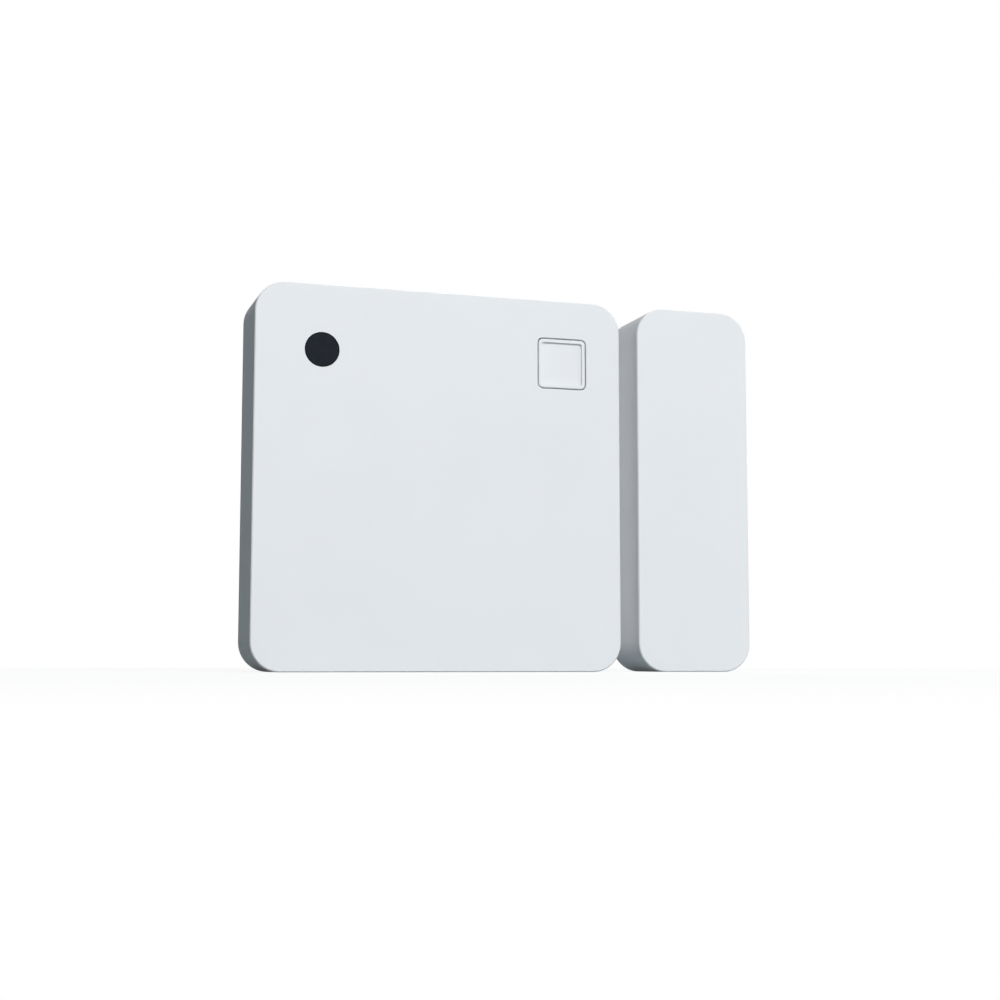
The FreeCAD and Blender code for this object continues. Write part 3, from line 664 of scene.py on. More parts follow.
CASING = MouldedPlastic("casing_satin", (0.800, 0.801, 0.815), shift=0.985, roughness=0.58, specular=0.33)
BUTTON = MouldedPlastic("button_satin", (0.800, 0.801, 0.815), roughness=0.5, grain=0.06 * MM, specular=0.36)
COVER = MouldedPlastic(
    "cover_satin", (0.77, 0.78, 0.79), roughness=0.5, grain=0.16 * MM, grain_height=0.003 * MM
)
WINDOW = DarkPane("window_tint", (0.0075, 0.0095, 0.0135))
LACQUER = BoardLacquer("board_mask", (0.010, 0.105, 0.045))
TRACK = BoardLacquer("track_mask", (0.020, 0.175, 0.075), weave=0.9 * MM)
EPOXY = Mineral("chip_epoxy", (0.020, 0.020, 0.022), (0.034, 0.034, 0.036))
MARK = Mineral("chip_mark", (0.085, 0.085, 0.085), (0.11, 0.11, 0.11), grain=0.03 * MM)
TIN = Metal("tin_plating", (0.80, 0.80, 0.79), roughness=0.3)
SOLDER = Metal("solder", (0.74, 0.75, 0.76), roughness=0.22, grain=0.4 * MM, grain_height=0.004 * MM)
GOLD = Metal("gold_plating", (0.95, 0.70, 0.32), roughness=0.26, grain=0.12 * MM)
SPRING = Metal("spring_steel", (0.62, 0.61, 0.59), roughness=0.27, grain=0.6 * MM, streak=Streak.UPRIGHT)
LID = Metal("pressed_lid", (0.70, 0.70, 0.70), roughness=0.3, grain=0.3 * MM, streak=Streak.ACROSS)
CAN = TurnedMetal("can_nickel", (0.72, 0.71, 0.69), "cell_can")
CAP = TurnedMetal("cap_nickel", (0.74, 0.73, 0.71), "cell_can", roughness=0.2, ring=0.25 * MM)
GASKET = MouldedPlastic("gasket_plastic", (0.42, 0.43, 0.43), roughness=0.45, grain=0.2 * MM)
PELLET = Mineral(
    "pressed_powder", (0.03, 0.03, 0.032), (0.06, 0.058, 0.055), roughness=0.85, grain=0.15 * MM
)
CERAMIC = Mineral("antenna_ceramic", (0.72, 0.72, 0.68), (0.64, 0.64, 0.60), roughness=0.35, grain=0.12 * MM)
TAN_CERAMIC = Mineral("capacitor_ceramic", (0.40, 0.27, 0.15), (0.33, 0.21, 0.11), roughness=0.32)
YELLOW_EPOXY = Mineral("tantalum_epoxy", (0.78, 0.50, 0.07), (0.70, 0.43, 0.05), roughness=0.45)
BAND = Mineral("polarity_band", (0.25, 0.10, 0.03), (0.20, 0.08, 0.02), roughness=0.45, grain=0.04 * MM)
SWITCH = MouldedPlastic("switch_nylon", (0.018, 0.018, 0.019), roughness=0.5, shift=0.8)
GLASS = Clear("reed_glass_green", (0.82, 0.95, 0.86), index=1.52, roughness=0.03)
LENS = Clear("cast_epoxy", (0.93, 0.93, 0.88), index=1.54, roughness=0.12, through=0.85)
DIE = Mineral(
    "silicon_die", (0.10, 0.08, 0.12), (0.14, 0.11, 0.16), roughness=0.2, grain=0.1 * MM, specular=0.8
)
FERRITE = Mineral("ferrite", (0.055, 0.053, 0.052), (0.085, 0.082, 0.08), roughness=0.7, grain=0.1 * MM)
PAINT = Mineral("pole_paint", (0.62, 0.62, 0.60), (0.55, 0.55, 0.53), roughness=0.5, grain=0.2 * MM)
LEGEND = Mineral("board_legend", (0.78, 0.78, 0.74), (0.66, 0.66, 0.62), roughness=0.55, grain=0.05 * MM)
FOAM = CellFoam("pad_foam", (0.46, 0.47, 0.48))
FILM = StickyFilm("pad_film", (0.55, 0.56, 0.57))


def clear_selection() -> None:
    """Deselects every object."""
    bpy.ops.object.select_all(action="DESELECT")


def take(*pieces: bpy.types.Object) -> None:
    """Selects some pieces and nothing else.

    Args:
        pieces: the pieces, of which the first becomes the active one.
    """
    clear_selection()
    for piece in pieces:
        piece.select_set(True)
    bpy.context.view_layer.objects.active = pieces[0]


def settled(name: str) -> bpy.types.Object:
    """Names the new piece and moves its place and turn into its mesh.

    Args:
        name: the name for the piece and its mesh.

    Returns:
        The piece.
    """
    piece = bpy.context.object
    piece.name = name
    piece.data.name = name
    bpy.ops.object.transform_apply(location=True, rotation=True, scale=True)
    return piece


def block(name: str, low: Vector, high: Vector) -> bpy.types.Object:
    """Adds a block, still to be shaped.

    Args:
        name: the new piece's name.
        low: its lowest corner.
        high: its highest corner.

    Returns:
        The piece.
    """
    clear_selection()
    bpy.ops.mesh.primitive_cube_add(size=1.0, location=(low + high) / 2, scale=high - low)
    return settled(name)


def drum(name: str, foot: Vector, radius: float, height: float, sides: int = 24) -> bpy.types.Object:
    """Adds a round blank along Y, still to be shaped.

    Args:
        name: the new piece's name.
        foot: the middle of the end that it stands on.
        radius: its radius.
        height: how far it reaches from there along Y, which may be negative.
        sides: how many flats make it round.

    Returns:
        The piece.
    """
    clear_selection()
    middle = foot + Vector((0.0, height / 2, 0.0))
    turn = (math.pi / 2, 0.0, 0.0)
    bpy.ops.mesh.primitive_cylinder_add(
        vertices=sides, radius=radius, depth=abs(height), location=middle, rotation=turn
    )
    return settled(name)


@contextmanager
def editing(piece: bpy.types.Object) -> Iterator[None]:
    """Edit mode on one piece, with nothing selected at first.

    Args:
        piece: the piece to edit.

    Yields:
        Nothing: the operators act on the piece.
    """
    take(piece)
    bpy.ops.object.mode_set(mode="EDIT")
    bpy.ops.mesh.select_all(action="DESELECT")
    yield
    bpy.ops.object.mode_set(mode="OBJECT")


def pick_faces(piece: bpy.types.Object, wanted: FaceTest) -> None:
    """Selects some faces of a piece in edit mode.

    Args:
        piece: the piece.
        wanted: the test that they pass.
    """
    bpy.ops.mesh.select_mode(type="FACE")
    for face in bmesh.from_edit_mesh(piece.data).faces:
        face.select_set(wanted(face))
    bmesh.update_edit_mesh(piece.data)


def pick_edges(piece: bpy.types.Object, wanted: EdgeTest) -> None:
    """Selects some edges of a piece in edit mode.

    Args:
        piece: the piece.
        wanted: the test that they pass.
    """
    bpy.ops.mesh.select_mode(type="EDGE")
    for edge in bmesh.from_edit_mesh(piece.data).edges:
        edge.select_set(wanted(edge))
    bmesh.update_edit_mesh(piece.data)


def facing(axis: Axis, sign: float, share: float = 0.9) -> FaceTest:
    """Test for faces that look nearly along one axis, the way of the sign."""
    return lambda face: face.normal[axis] * sign > share


def along(axis: Axis, share: float = 0.99) -> EdgeTest:
    """Makes a test for edges that run nearly along one axis.

    Args:
        axis: the axis.
        share: how much of an edge's length has to be along it.

    Returns:
        The test.
    """

    def runs_along(edge: bmesh.types.BMEdge) -> bool:
        """Whether the edge runs along the axis."""
        run = edge.verts[1].co - edge.verts[0].co
        return abs(run[axis]) > share * run.length

    return runs_along


def at_level(axis: Axis, level: float, near: float = 0.001 * MM) -> EdgeTest:
    """Test for edges that lie at one level of an axis."""
    return lambda edge: all(abs(vert.co[axis] - level) < near for vert in edge.verts)


def both(first: EdgeTest, second: EdgeTest) -> EdgeTest:
    """Test for edges that pass each of two tests."""
    return lambda edge: first(edge) and second(edge)


def every_edge(edge: bmesh.types.BMEdge) -> bool:
    """Test that any edge passes."""
    return True


def bevel(piece: bpy.types.Object, wanted: EdgeTest, size: float, steps: int = 3) -> None:
    """Rounds some edges of a piece.

    Args:
        piece: the piece.
        wanted: the test that the edges pass.
        size: how far from the edge the rounding starts.
        steps: how many strips make it.
    """
    with editing(piece):
        pick_edges(piece, wanted)
        bpy.ops.mesh.bevel(offset=size, segments=steps, affect="EDGES")


def extrude_along_y(by: float) -> None:
    """Extrudes the selected faces along Y."""
    bpy.ops.mesh.extrude_region_move(TRANSFORM_OT_translate={"value": (0.0, by, 0.0)})


def joined(name: str, pieces: list[bpy.types.Object]) -> bpy.types.Object:
    """Makes several pieces one.

    Args:
        name: the name of the joined piece.
        pieces: what it is made of.

    Returns:
        The joined piece.
    """
    take(*pieces)
    if len(pieces) > 1:
        bpy.ops.object.join()
    pieces[0].name = name
    pieces[0].data.name = name
    return pieces[0]


def repeated(piece: bpy.types.Object, offsets: list[Vector]) -> bpy.types.Object:
    """Copies a piece, which was modelled once, to several places.

    Args:
        piece: the piece to copy, which is then removed.
        offsets: how far each copy is from where it stands.

    Returns:
        All the copies as one piece, with its name.
    """
    name = piece.name
    twins = []
    for offset in offsets:
        take(piece)
        bpy.ops.object.duplicate(linked=False)
        bpy.ops.transform.translate(value=offset)
        bpy.ops.object.transform_apply(location=True, rotation=True, scale=True)
        twins.append(bpy.context.object)
    bpy.data.objects.remove(piece)
    return joined(name, twins)


def in_row(count: int, pitch: float, axis: Axis) -> list[Vector]:
    """Works out the offsets of a row of things.

    Args:
        count: how many there are.
        pitch: the distance from one to the next.
        axis: the axis that they stand along.

    Returns:
        The offsets, with the row's middle at zero.
    """
    steps = [(k - (count - 1) / 2) * pitch for k in range(count)]
    return [Vector([step if a is axis else 0.0 for a in Axis]) for step in steps]


def dress(piece: bpy.types.Object, finish: Finish, body: Body) -> bpy.types.Object:
    """Finishes a new piece.

    Args:
        piece: the piece.
        finish: its surface.
        body: the body that it rides on.

    Returns:
        The piece.
    """
    piece.data.materials.clear()
    piece.data.materials.append(finish.material())
    take(piece)
    bpy.ops.object.shade_smooth_by_angle(angle=SMOOTH_BELOW)
    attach(piece, body.value)
    return piece


def coat(node: str, finish: Finish) -> None:
    """Gives a CAD node its finish."""
    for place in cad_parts[node].material_slots:
        place.material = finish.material()


class Assembly(ABC):
    """A sub-assembly: what its solids are finished with, and the pieces that are too fine for them."""

    finishes: ClassVar[dict[str, Finish]] = {}

    @abstractmethod
    def pieces(self) -> list[bpy.types.Object]:
        """Makes and dresses the new pieces."""

    def build(self) -> list[bpy.types.Object]:
        """Finishes the solids and makes what is added to them.

        Returns:
            The new pieces.
        """
        for node, finish in self.finishes.items():
            coat(node, finish)
        return self.pieces()


@dataclass
class Casings(Assembly):
    """The casings, back covers, window and button, which are whole as solids."""

    finishes: ClassVar[dict[str, Finish]] = {
        "front_housing": CASING,
        "magnet_housing": CASING,
        "control_button": BUTTON,
        "light_window": WINDOW,
        "back_cover": COVER,
        "magnet_back_cover": COVER,
    }

    def pieces(self) -> list[bpy.types.Object]:
        """Adds nothing."""
        return []


@dataclass
class FoamPad(Assembly):
    """A die-cut foam pad between its two sticky skins, in the place of its solid."""

    node: str
    body: Body
    corner: float = 1.2 * MM
    corner_steps: int = 8
    skin: float = 0.05 * MM
    waist: float = 0.09 * MM
    cuts: int = 5

    def core(self, room: Room) -> bpy.types.Object:
        """Makes the foam, a little narrower half way between its skins.

        Args:
            room: the box of the solid that it stands for.

        Returns:
            The foam.
        """
        inward = Vector((0.0, self.skin, 0.0))
        low, high = room.low + inward, room.high - inward
        pad = block(f"{self.node}_foam", low, high)
        bevel(pad, along(Axis.Y), self.corner, self.corner_steps)
        half = room.size / 2
        with editing(pad):
            pick_edges(pad, along(Axis.Y))
            bpy.ops.mesh.subdivide(number_cuts=self.cuts)
            for k in range(self.cuts + 2):
                level = low.y + (high.y - low.y) * k / (self.cuts + 1)
                narrower = self.waist * (1.0 - ((level - room.centre.y) / half.y) ** 2)
                pick_edges(pad, at_level(Axis.Y, level))
                shares = (1.0 - narrower / half.x, 1.0, 1.0 - narrower / half.z)
                bpy.ops.transform.resize(value=shares, center_override=room.centre)
        return pad

    def skins(self, room: Room) -> bpy.types.Object:
        """Makes one sticky skin and copies it to the foam's other face.

        Args:
            room: the box of the solid that the pad stands for.

        Returns:
            Both skins.
        """
        high = Vector((room.high.x, room.low.y + self.skin, room.high.z))
        near = block(f"{self.node}_skins", room.low, high)
        bevel(near, along(Axis.Y), self.corner, self.corner_steps)
        return repeated(near, [Vector(), Vector((0.0, room.size.y - self.skin, 0.0))])

    def pieces(self) -> list[bpy.types.Object]:
        """Makes and dresses the foam and its skins.

        Returns:
            Both pieces.
        """
        room = Room.of(self.node)
        foam = dress(self.core(room), FOAM, self.body)
        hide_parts(self.node)
        return [foam, dress(self.skins(room), FILM, self.body)]


class Face(Enum):
    """The two faces of the circuit board, as the way that each looks along Y."""

    BACK = 1.0
    FRONT = -1.0


@dataclass(frozen=True)
class Track:
    """One printed line on the board: its points, as x and z, and its width, all in millimetres."""

    points: tuple[Pair, ...]
    width: float = 0.2


ROW_LEVELS = (1.95, 0.65, -0.65, -1.95)  # z of the middle four in each row of small parts, in millimetres


def stubs(start: float, end: float) -> tuple[Track, ...]:
    """Short tracks beside the middle four of a row, from one x to another."""
    return tuple(Track(((start, z), (end, z))) for z in ROW_LEVELS)


@dataclass
class BoardPrint(Assembly):
    """What is printed and plated on the board: tracks, through-plated holes, test pads and outlines."""

    finishes: ClassVar[dict[str, Finish]] = {"circuit_board": LACQUER, "negative_contact": GOLD}

    track_height: float = 0.03 * MM
    legend_height: float = 0.012 * MM
    sunk: float = 0.01 * MM  # how deep all of it reaches into the board
    merge: float = 0.0001 * MM  # points nearer than this become one
    back: tuple[Track, ...] = (
        # from the small capacitors and resistors to the holes beside them
        *stubs(5.3, 6.0),
        *stubs(13.0, 13.5),
        # from the small capacitors to the radio chip and the tilt chip
        Track(((6.8, 4.55), (7.2, 4.55), (7.9, 3.85), (8.3, 3.85))),
        Track(((6.8, 3.25), (7.1, 3.25), (7.75, 2.6), (7.75, 1.9))),
        Track(((6.8, 1.95), (7.2, 1.95), (7.5, 1.65))),
        Track(((6.8, 0.65), (7.5, 0.65))),
        Track(((6.8, -0.65), (7.5, -0.65))),
        Track(((6.8, -1.95), (7.2, -1.95), (7.5, -1.65))),
        Track(((6.8, -3.25), (7.3, -3.25), (7.6, -3.55), (8.5, -3.55))),
        Track(((6.8, -4.55), (8.5, -4.55))),
        # from the radio chip to the small resistors
        Track(((11.3, 1.4), (11.7, 1.4), (12.2, 1.9))),
        Track(((11.3, 0.65), (12.2, 0.65))),
        Track(((11.3, -0.65), (12.2, -0.65))),
        Track(((11.3, -1.4), (11.7, -1.4), (12.2, -1.95))),
        # from the radio chip to the crystal, the tilt chip and the antenna
        Track(((8.7, 1.9), (8.7, 3.1))),
        Track(((10.1, 1.9), (10.1, 3.1))),
        Track(((8.9, -1.9), (8.9, -3.1))),
        Track(((9.9, -1.9), (9.9, -3.1))),
        Track(((11.0, 1.9), (11.0, 2.3), (11.7, 3.0), (11.7, 12.2), (11.0, 12.9), (11.0, 14.2)), 0.35),
        # along the right edge, to the reed switch
        Track(((12.95, 3.25), (13.2, 3.5), (13.2, 9.2), (12.6, 9.8))),
        Track(((14.6, 6.4), (14.6, 7.6), (13.9, 8.3), (13.9, 9.6)), 0.3),
        Track(((14.6, -6.4), (14.6, -7.8), (13.4, -9.0), (12.3, -9.0)), 0.3),
        # across the board, above the cell
        Track(
            ((5.9, 4.55), (5.3, 4.55), (2.5, 7.35), (-3.0, 7.35), (-4.5, 8.85), (-9.6, 8.85), (-10.8, 10.05))
        ),
        Track(
            ((5.9, 3.25), (5.1, 3.25), (1.9, 6.45), (-3.4, 6.45), (-4.9, 7.95), (-11.0, 7.95), (-12.6, 9.55))
        ),
        Track(((6.0, 6.8), (4.4, 8.4), (-1.6, 8.4), (-3.1, 9.9), (-8.2, 9.9))),
        Track(((10.4, 6.9), (10.4, 8.6), (9.6, 9.4), (2.6, 9.4), (1.2, 10.8), (-6.0, 10.8))),
        Track(((9.4, 4.9), (9.4, 7.2), (8.6, 8.0), (6.6, 8.0))),
        # wide ones for the supply
        Track(((5.2, -7.4), (7.9, -7.4)), 0.8),
        Track(((5.2, -4.4), (5.2, -3.5)), 0.8),
        Track(((10.9, -7.4), (12.6, -7.4), (12.6, -10.6), (11.2, -12.0)), 0.6),
        Track(((-16.0, -3.9), (-16.0, 2.5), (-14.4, 4.1), (-14.4, 6.4)), 0.6),
        Track(((6.4, -10.9), (6.4, -15.2), (12.2, -15.2)), 0.5),
    )
    front: tuple[Track, ...] = (
        # from the push switch
        Track(((10.2, 10.8), (8.9, 10.8), (7.6, 9.5), (7.6, 4.25), (5.3, 1.95))),
        Track(((13.8, 10.8), (14.6, 10.0), (14.6, 2.6), (13.95, 1.95), (13.5, 1.95))),
        Track(((13.8, 12.9), (14.9, 12.9), (15.4, 12.4), (15.4, 0.1), (14.65, -0.65), (13.5, -0.65))),
        Track(((10.2, 12.9), (3.1, 12.9))),
        # from the light chip and the lamp
        Track(((-12.65, 12.5), (-12.65, 13.3), (-9.6, 13.3), (-8.2, 11.9), (-8.2, 9.9))),
        Track(((-13.1, 11.3), (-14.4, 10.0), (-14.4, 6.4))),
        Track(((-11.2, 11.0), (-11.2, 10.45), (-10.8, 10.05))),
        Track(((-12.65, 11.3), (-12.65, 9.6))),
        # between holes, across the board
        Track(((-6.0, 10.8), (-5.0, 9.8), (3.0, 9.8), (6.0, 6.8))),
        Track(((-14.4, 6.4), (-14.4, -3.0), (-11.2, -6.2), (-5.4, -6.2)), 0.4),
        Track(((5.2, -3.5), (5.2, -8.0), (9.2, -12.0), (11.2, -12.0)), 0.4),
    )
    via_radius: float = 0.27 * MM
    via_hole: float = 0.13 * MM
    via_height: float = 0.042 * MM
    via_dip: float = 0.027 * MM
    vias: tuple[Pair, ...] = (  # x and z of each, in millimetres
        *((5.3, z) for z in ROW_LEVELS),
        *((13.5, z) for z in ROW_LEVELS),
        (-10.8, 10.05), (-12.6, 9.55), (-8.2, 9.9), (-6.0, 10.8), (12.6, 9.8), (13.9, 9.6), (12.3, -9.0),
        (6.6, 8.0), (10.4, 6.9), (6.0, 6.8), (-14.4, 6.4), (11.2, -12.0), (-15.6, 15.6), (0.0, 15.6),
        (15.6, 15.6), (15.7, -15.6), (3.0, 13.0), (-3.0, 13.0), (-9.0, 14.6), (5.9, 11.2), (5.2, -3.5),
        (-5.4, -6.2),
    )
    pad_radius: float = 0.5 * MM
    pad_rim: float = 0.018 * MM
    pad_count: int = 5
    pad_pitch: float = 1.5 * MM
    pads_at: Pair = (11.4, -13.2)  # x and z of the middle one, in millimetres
    signs: tuple[Track, ...] = (
        Track(((-15.9, -1.6), (-14.5, -1.6)), 0.18),
        Track(((-15.2, -2.3), (-15.2, -0.9)), 0.18),
        Track(((-6.1, 5.1), (-4.7, 5.1)), 0.18),
    )
    framed: tuple[str, ...] = ("radio_chip", "crystal", "tilt_chip", "reservoir_capacitor", "chip_antenna")
    frame_margin: float = 0.3 * MM
    frame_line: float = 0.1 * MM

    def level(self, side: Face) -> float:
        """Where that face of the board lies along Y."""
        room = Room.of("circuit_board")
        return room.high.y if side is Face.BACK else room.low.y

    def curve(self, name: str, lines: list[list[Pair]], closed: bool) -> bpy.types.Object:
        """Draws a flat curve.

        Args:
            name: the curve's name.
            lines: the points of each of its lines, in metres.
            closed: whether each line closes on itself.

        Returns:
            The curve, at the origin.
        """
        data = bpy.data.curves.new(name, "CURVE")
        data.dimensions = "2D"
        data.fill_mode = "NONE"
        for line in lines:
            spline = data.splines.new("POLY")
            spline.points.add(len(line) - 1)
            for point, (across, up) in zip(spline.points, line):
                point.co = (across, up, 0.0, 1.0)
            spline.use_cyclic_u = closed
        drawn = bpy.data.objects.new(name, data)
        bpy.context.scene.collection.objects.link(drawn)
        return drawn

    def section(self, width: float, height: float) -> bpy.types.Object:
        """The flat section of a printed line."""
        corners = ((-1, -1), (1, -1), (1, 1), (-1, 1))
        return self.curve("section", [[(a * width / 2, u * height / 2) for a, u in corners]], True)

    def lines(
        self, name: str, tracks: tuple[Track, ...], side: Face, height: float, closed: bool = False
    ) -> bpy.types.Object:
        """Draws flat lines on the board as a curve with a flat section, and makes it a mesh.

        Args:
            name: the new piece's name.
            tracks: the lines, all of one width.
            side: the face that they lie on.
            height: how far they stand out of it.
            closed: whether each line closes on itself.

        Returns:
            The piece.
        """
        section = self.section(tracks[0].width * MM, height + self.sunk)
        drawn = self.curve(name, [[(x * MM, z * MM) for x, z in track.points] for track in tracks], closed)
        drawn.data.bevel_mode = "OBJECT"
        drawn.data.bevel_object = section
        drawn.data.use_fill_caps = not closed
        drawn.location.y = self.level(side) + side.value * (height - self.sunk) / 2
        drawn.rotation_euler.x = math.pi / 2
        take(drawn)
        bpy.ops.object.convert(target="MESH")
        bpy.data.objects.remove(section)
        piece = settled(name)
        with editing(piece):
            bpy.ops.mesh.select_all(action="SELECT")
            bpy.ops.mesh.remove_doubles(threshold=self.merge)
            bpy.ops.mesh.normals_make_consistent(inside=False)
        return piece

    def by_width(self, name: str, tracks: tuple[Track, ...], side: Face) -> bpy.types.Object:
        """Draws tracks of several widths.

        Args:
            name: the new piece's name.
            tracks: the tracks.
            side: the face that they lie on.

        Returns:
            All of them as one piece.
        """
        made = []
        for width in sorted({track.width for track in tracks}):
            alike = tuple(track for track in tracks if track.width == width)
            made.append(self.lines(f"{name}_{len(made)}", alike, side, self.track_height))
        return joined(name, made)

    def via_rings(self) -> bpy.types.Object:
        """Plates the holes: on each face a raised ring with a sunk middle, modelled once and copied.

        Returns:
            The rings of both faces.
        """
        faces = []
        for side in Face:
            out = side.value
            foot = Vector((0.0, self.level(side) - out * self.sunk, 0.0))
            height = out * (self.sunk + self.via_height)
            ring = drum(f"vias_{side.name.lower()}", foot, self.via_radius, height, sides=16)
            with editing(ring):
                pick_faces(ring, facing(Axis.Y, out))
                bpy.ops.mesh.inset(thickness=self.via_radius - self.via_hole)
                extrude_along_y(-out * self.via_dip)
            faces.append(repeated(ring, [mm(x, 0.0, z) for x, z in self.vias]))
        return joined("board_vias", faces)

    def probe_pads(self) -> bpy.types.Object:
        """Makes a round gold pad for testing the board, with a rounded rim, and copies it along a row.

        Returns:
            The row of pads.
        """
        x, z = self.pads_at
        level = self.level(Face.BACK)
        foot = Vector((x * MM, level - self.sunk, z * MM))
        pad = drum("board_test_pads", foot, self.pad_radius, self.sunk + self.track_height, sides=32)
        bevel(pad, at_level(Axis.Y, level + self.track_height), self.pad_rim, steps=2)
        return repeated(pad, in_row(self.pad_count, self.pad_pitch, Axis.X))

    def outlines(self) -> bpy.types.Object:
        """Prints white frames round the chips, and plus and minus signs beside the cell.

        Returns:
            Frames and signs as one piece.
        """
        frames = []
        margin = Vector((self.frame_margin, 0.0, self.frame_margin))
        for node in self.framed:
            room = Room.of(node)
            low, high = (room.low - margin) / MM, (room.high + margin) / MM
            corners = ((low.x, low.z), (high.x, low.z), (high.x, high.z), (low.x, high.z))
            frames.append(Track(corners, self.frame_line / MM))
        rings = self.lines("frames", tuple(frames), Face.BACK, self.legend_height, closed=True)
        signs = self.lines("signs", self.signs, Face.BACK, self.legend_height)
        return joined("board_outlines", [rings, signs])

    def pieces(self) -> list[bpy.types.Object]:
        """Prints and plates both faces of the board.

        Returns:
            The new pieces.
        """
        house = Body.SENSOR_HOUSING
        back = self.by_width("board_tracks_back", self.back, Face.BACK)
        front = self.by_width("board_tracks_front", self.front, Face.FRONT)
        return [
            dress(back, TRACK, house),
            dress(front, TRACK, house),
            dress(self.via_rings(), GOLD, house),
            dress(self.probe_pads(), GOLD, house),
            dress(self.outlines(), LEGEND, house),
        ]


class Side(Enum):
    """One side of a chip in the plane of the board: the axis that it faces along, and which way."""

    LEFT = (Axis.X, -1.0)
    RIGHT = (Axis.X, 1.0)
    LOW = (Axis.Z, -1.0)
    HIGH = (Axis.Z, 1.0)


ALL_ROUND = tuple(Side)
BOTH_ENDS = (Side.LEFT, Side.RIGHT)
LOW_AND_HIGH = (Side.LOW, Side.HIGH)


@dataclass(frozen=True)
class FootRow:
    """The soldered feet of one chip, in an equal row along each of several sides."""

    node: str
    sides: tuple[Side, ...]
    count: int
    pitch: float
    width: float


@dataclass(frozen=True)
class CapRow:
    """The plated ends of a row of small parts: the parts' node, their number and a cap's length."""

    node: str
    count: int
    length: float


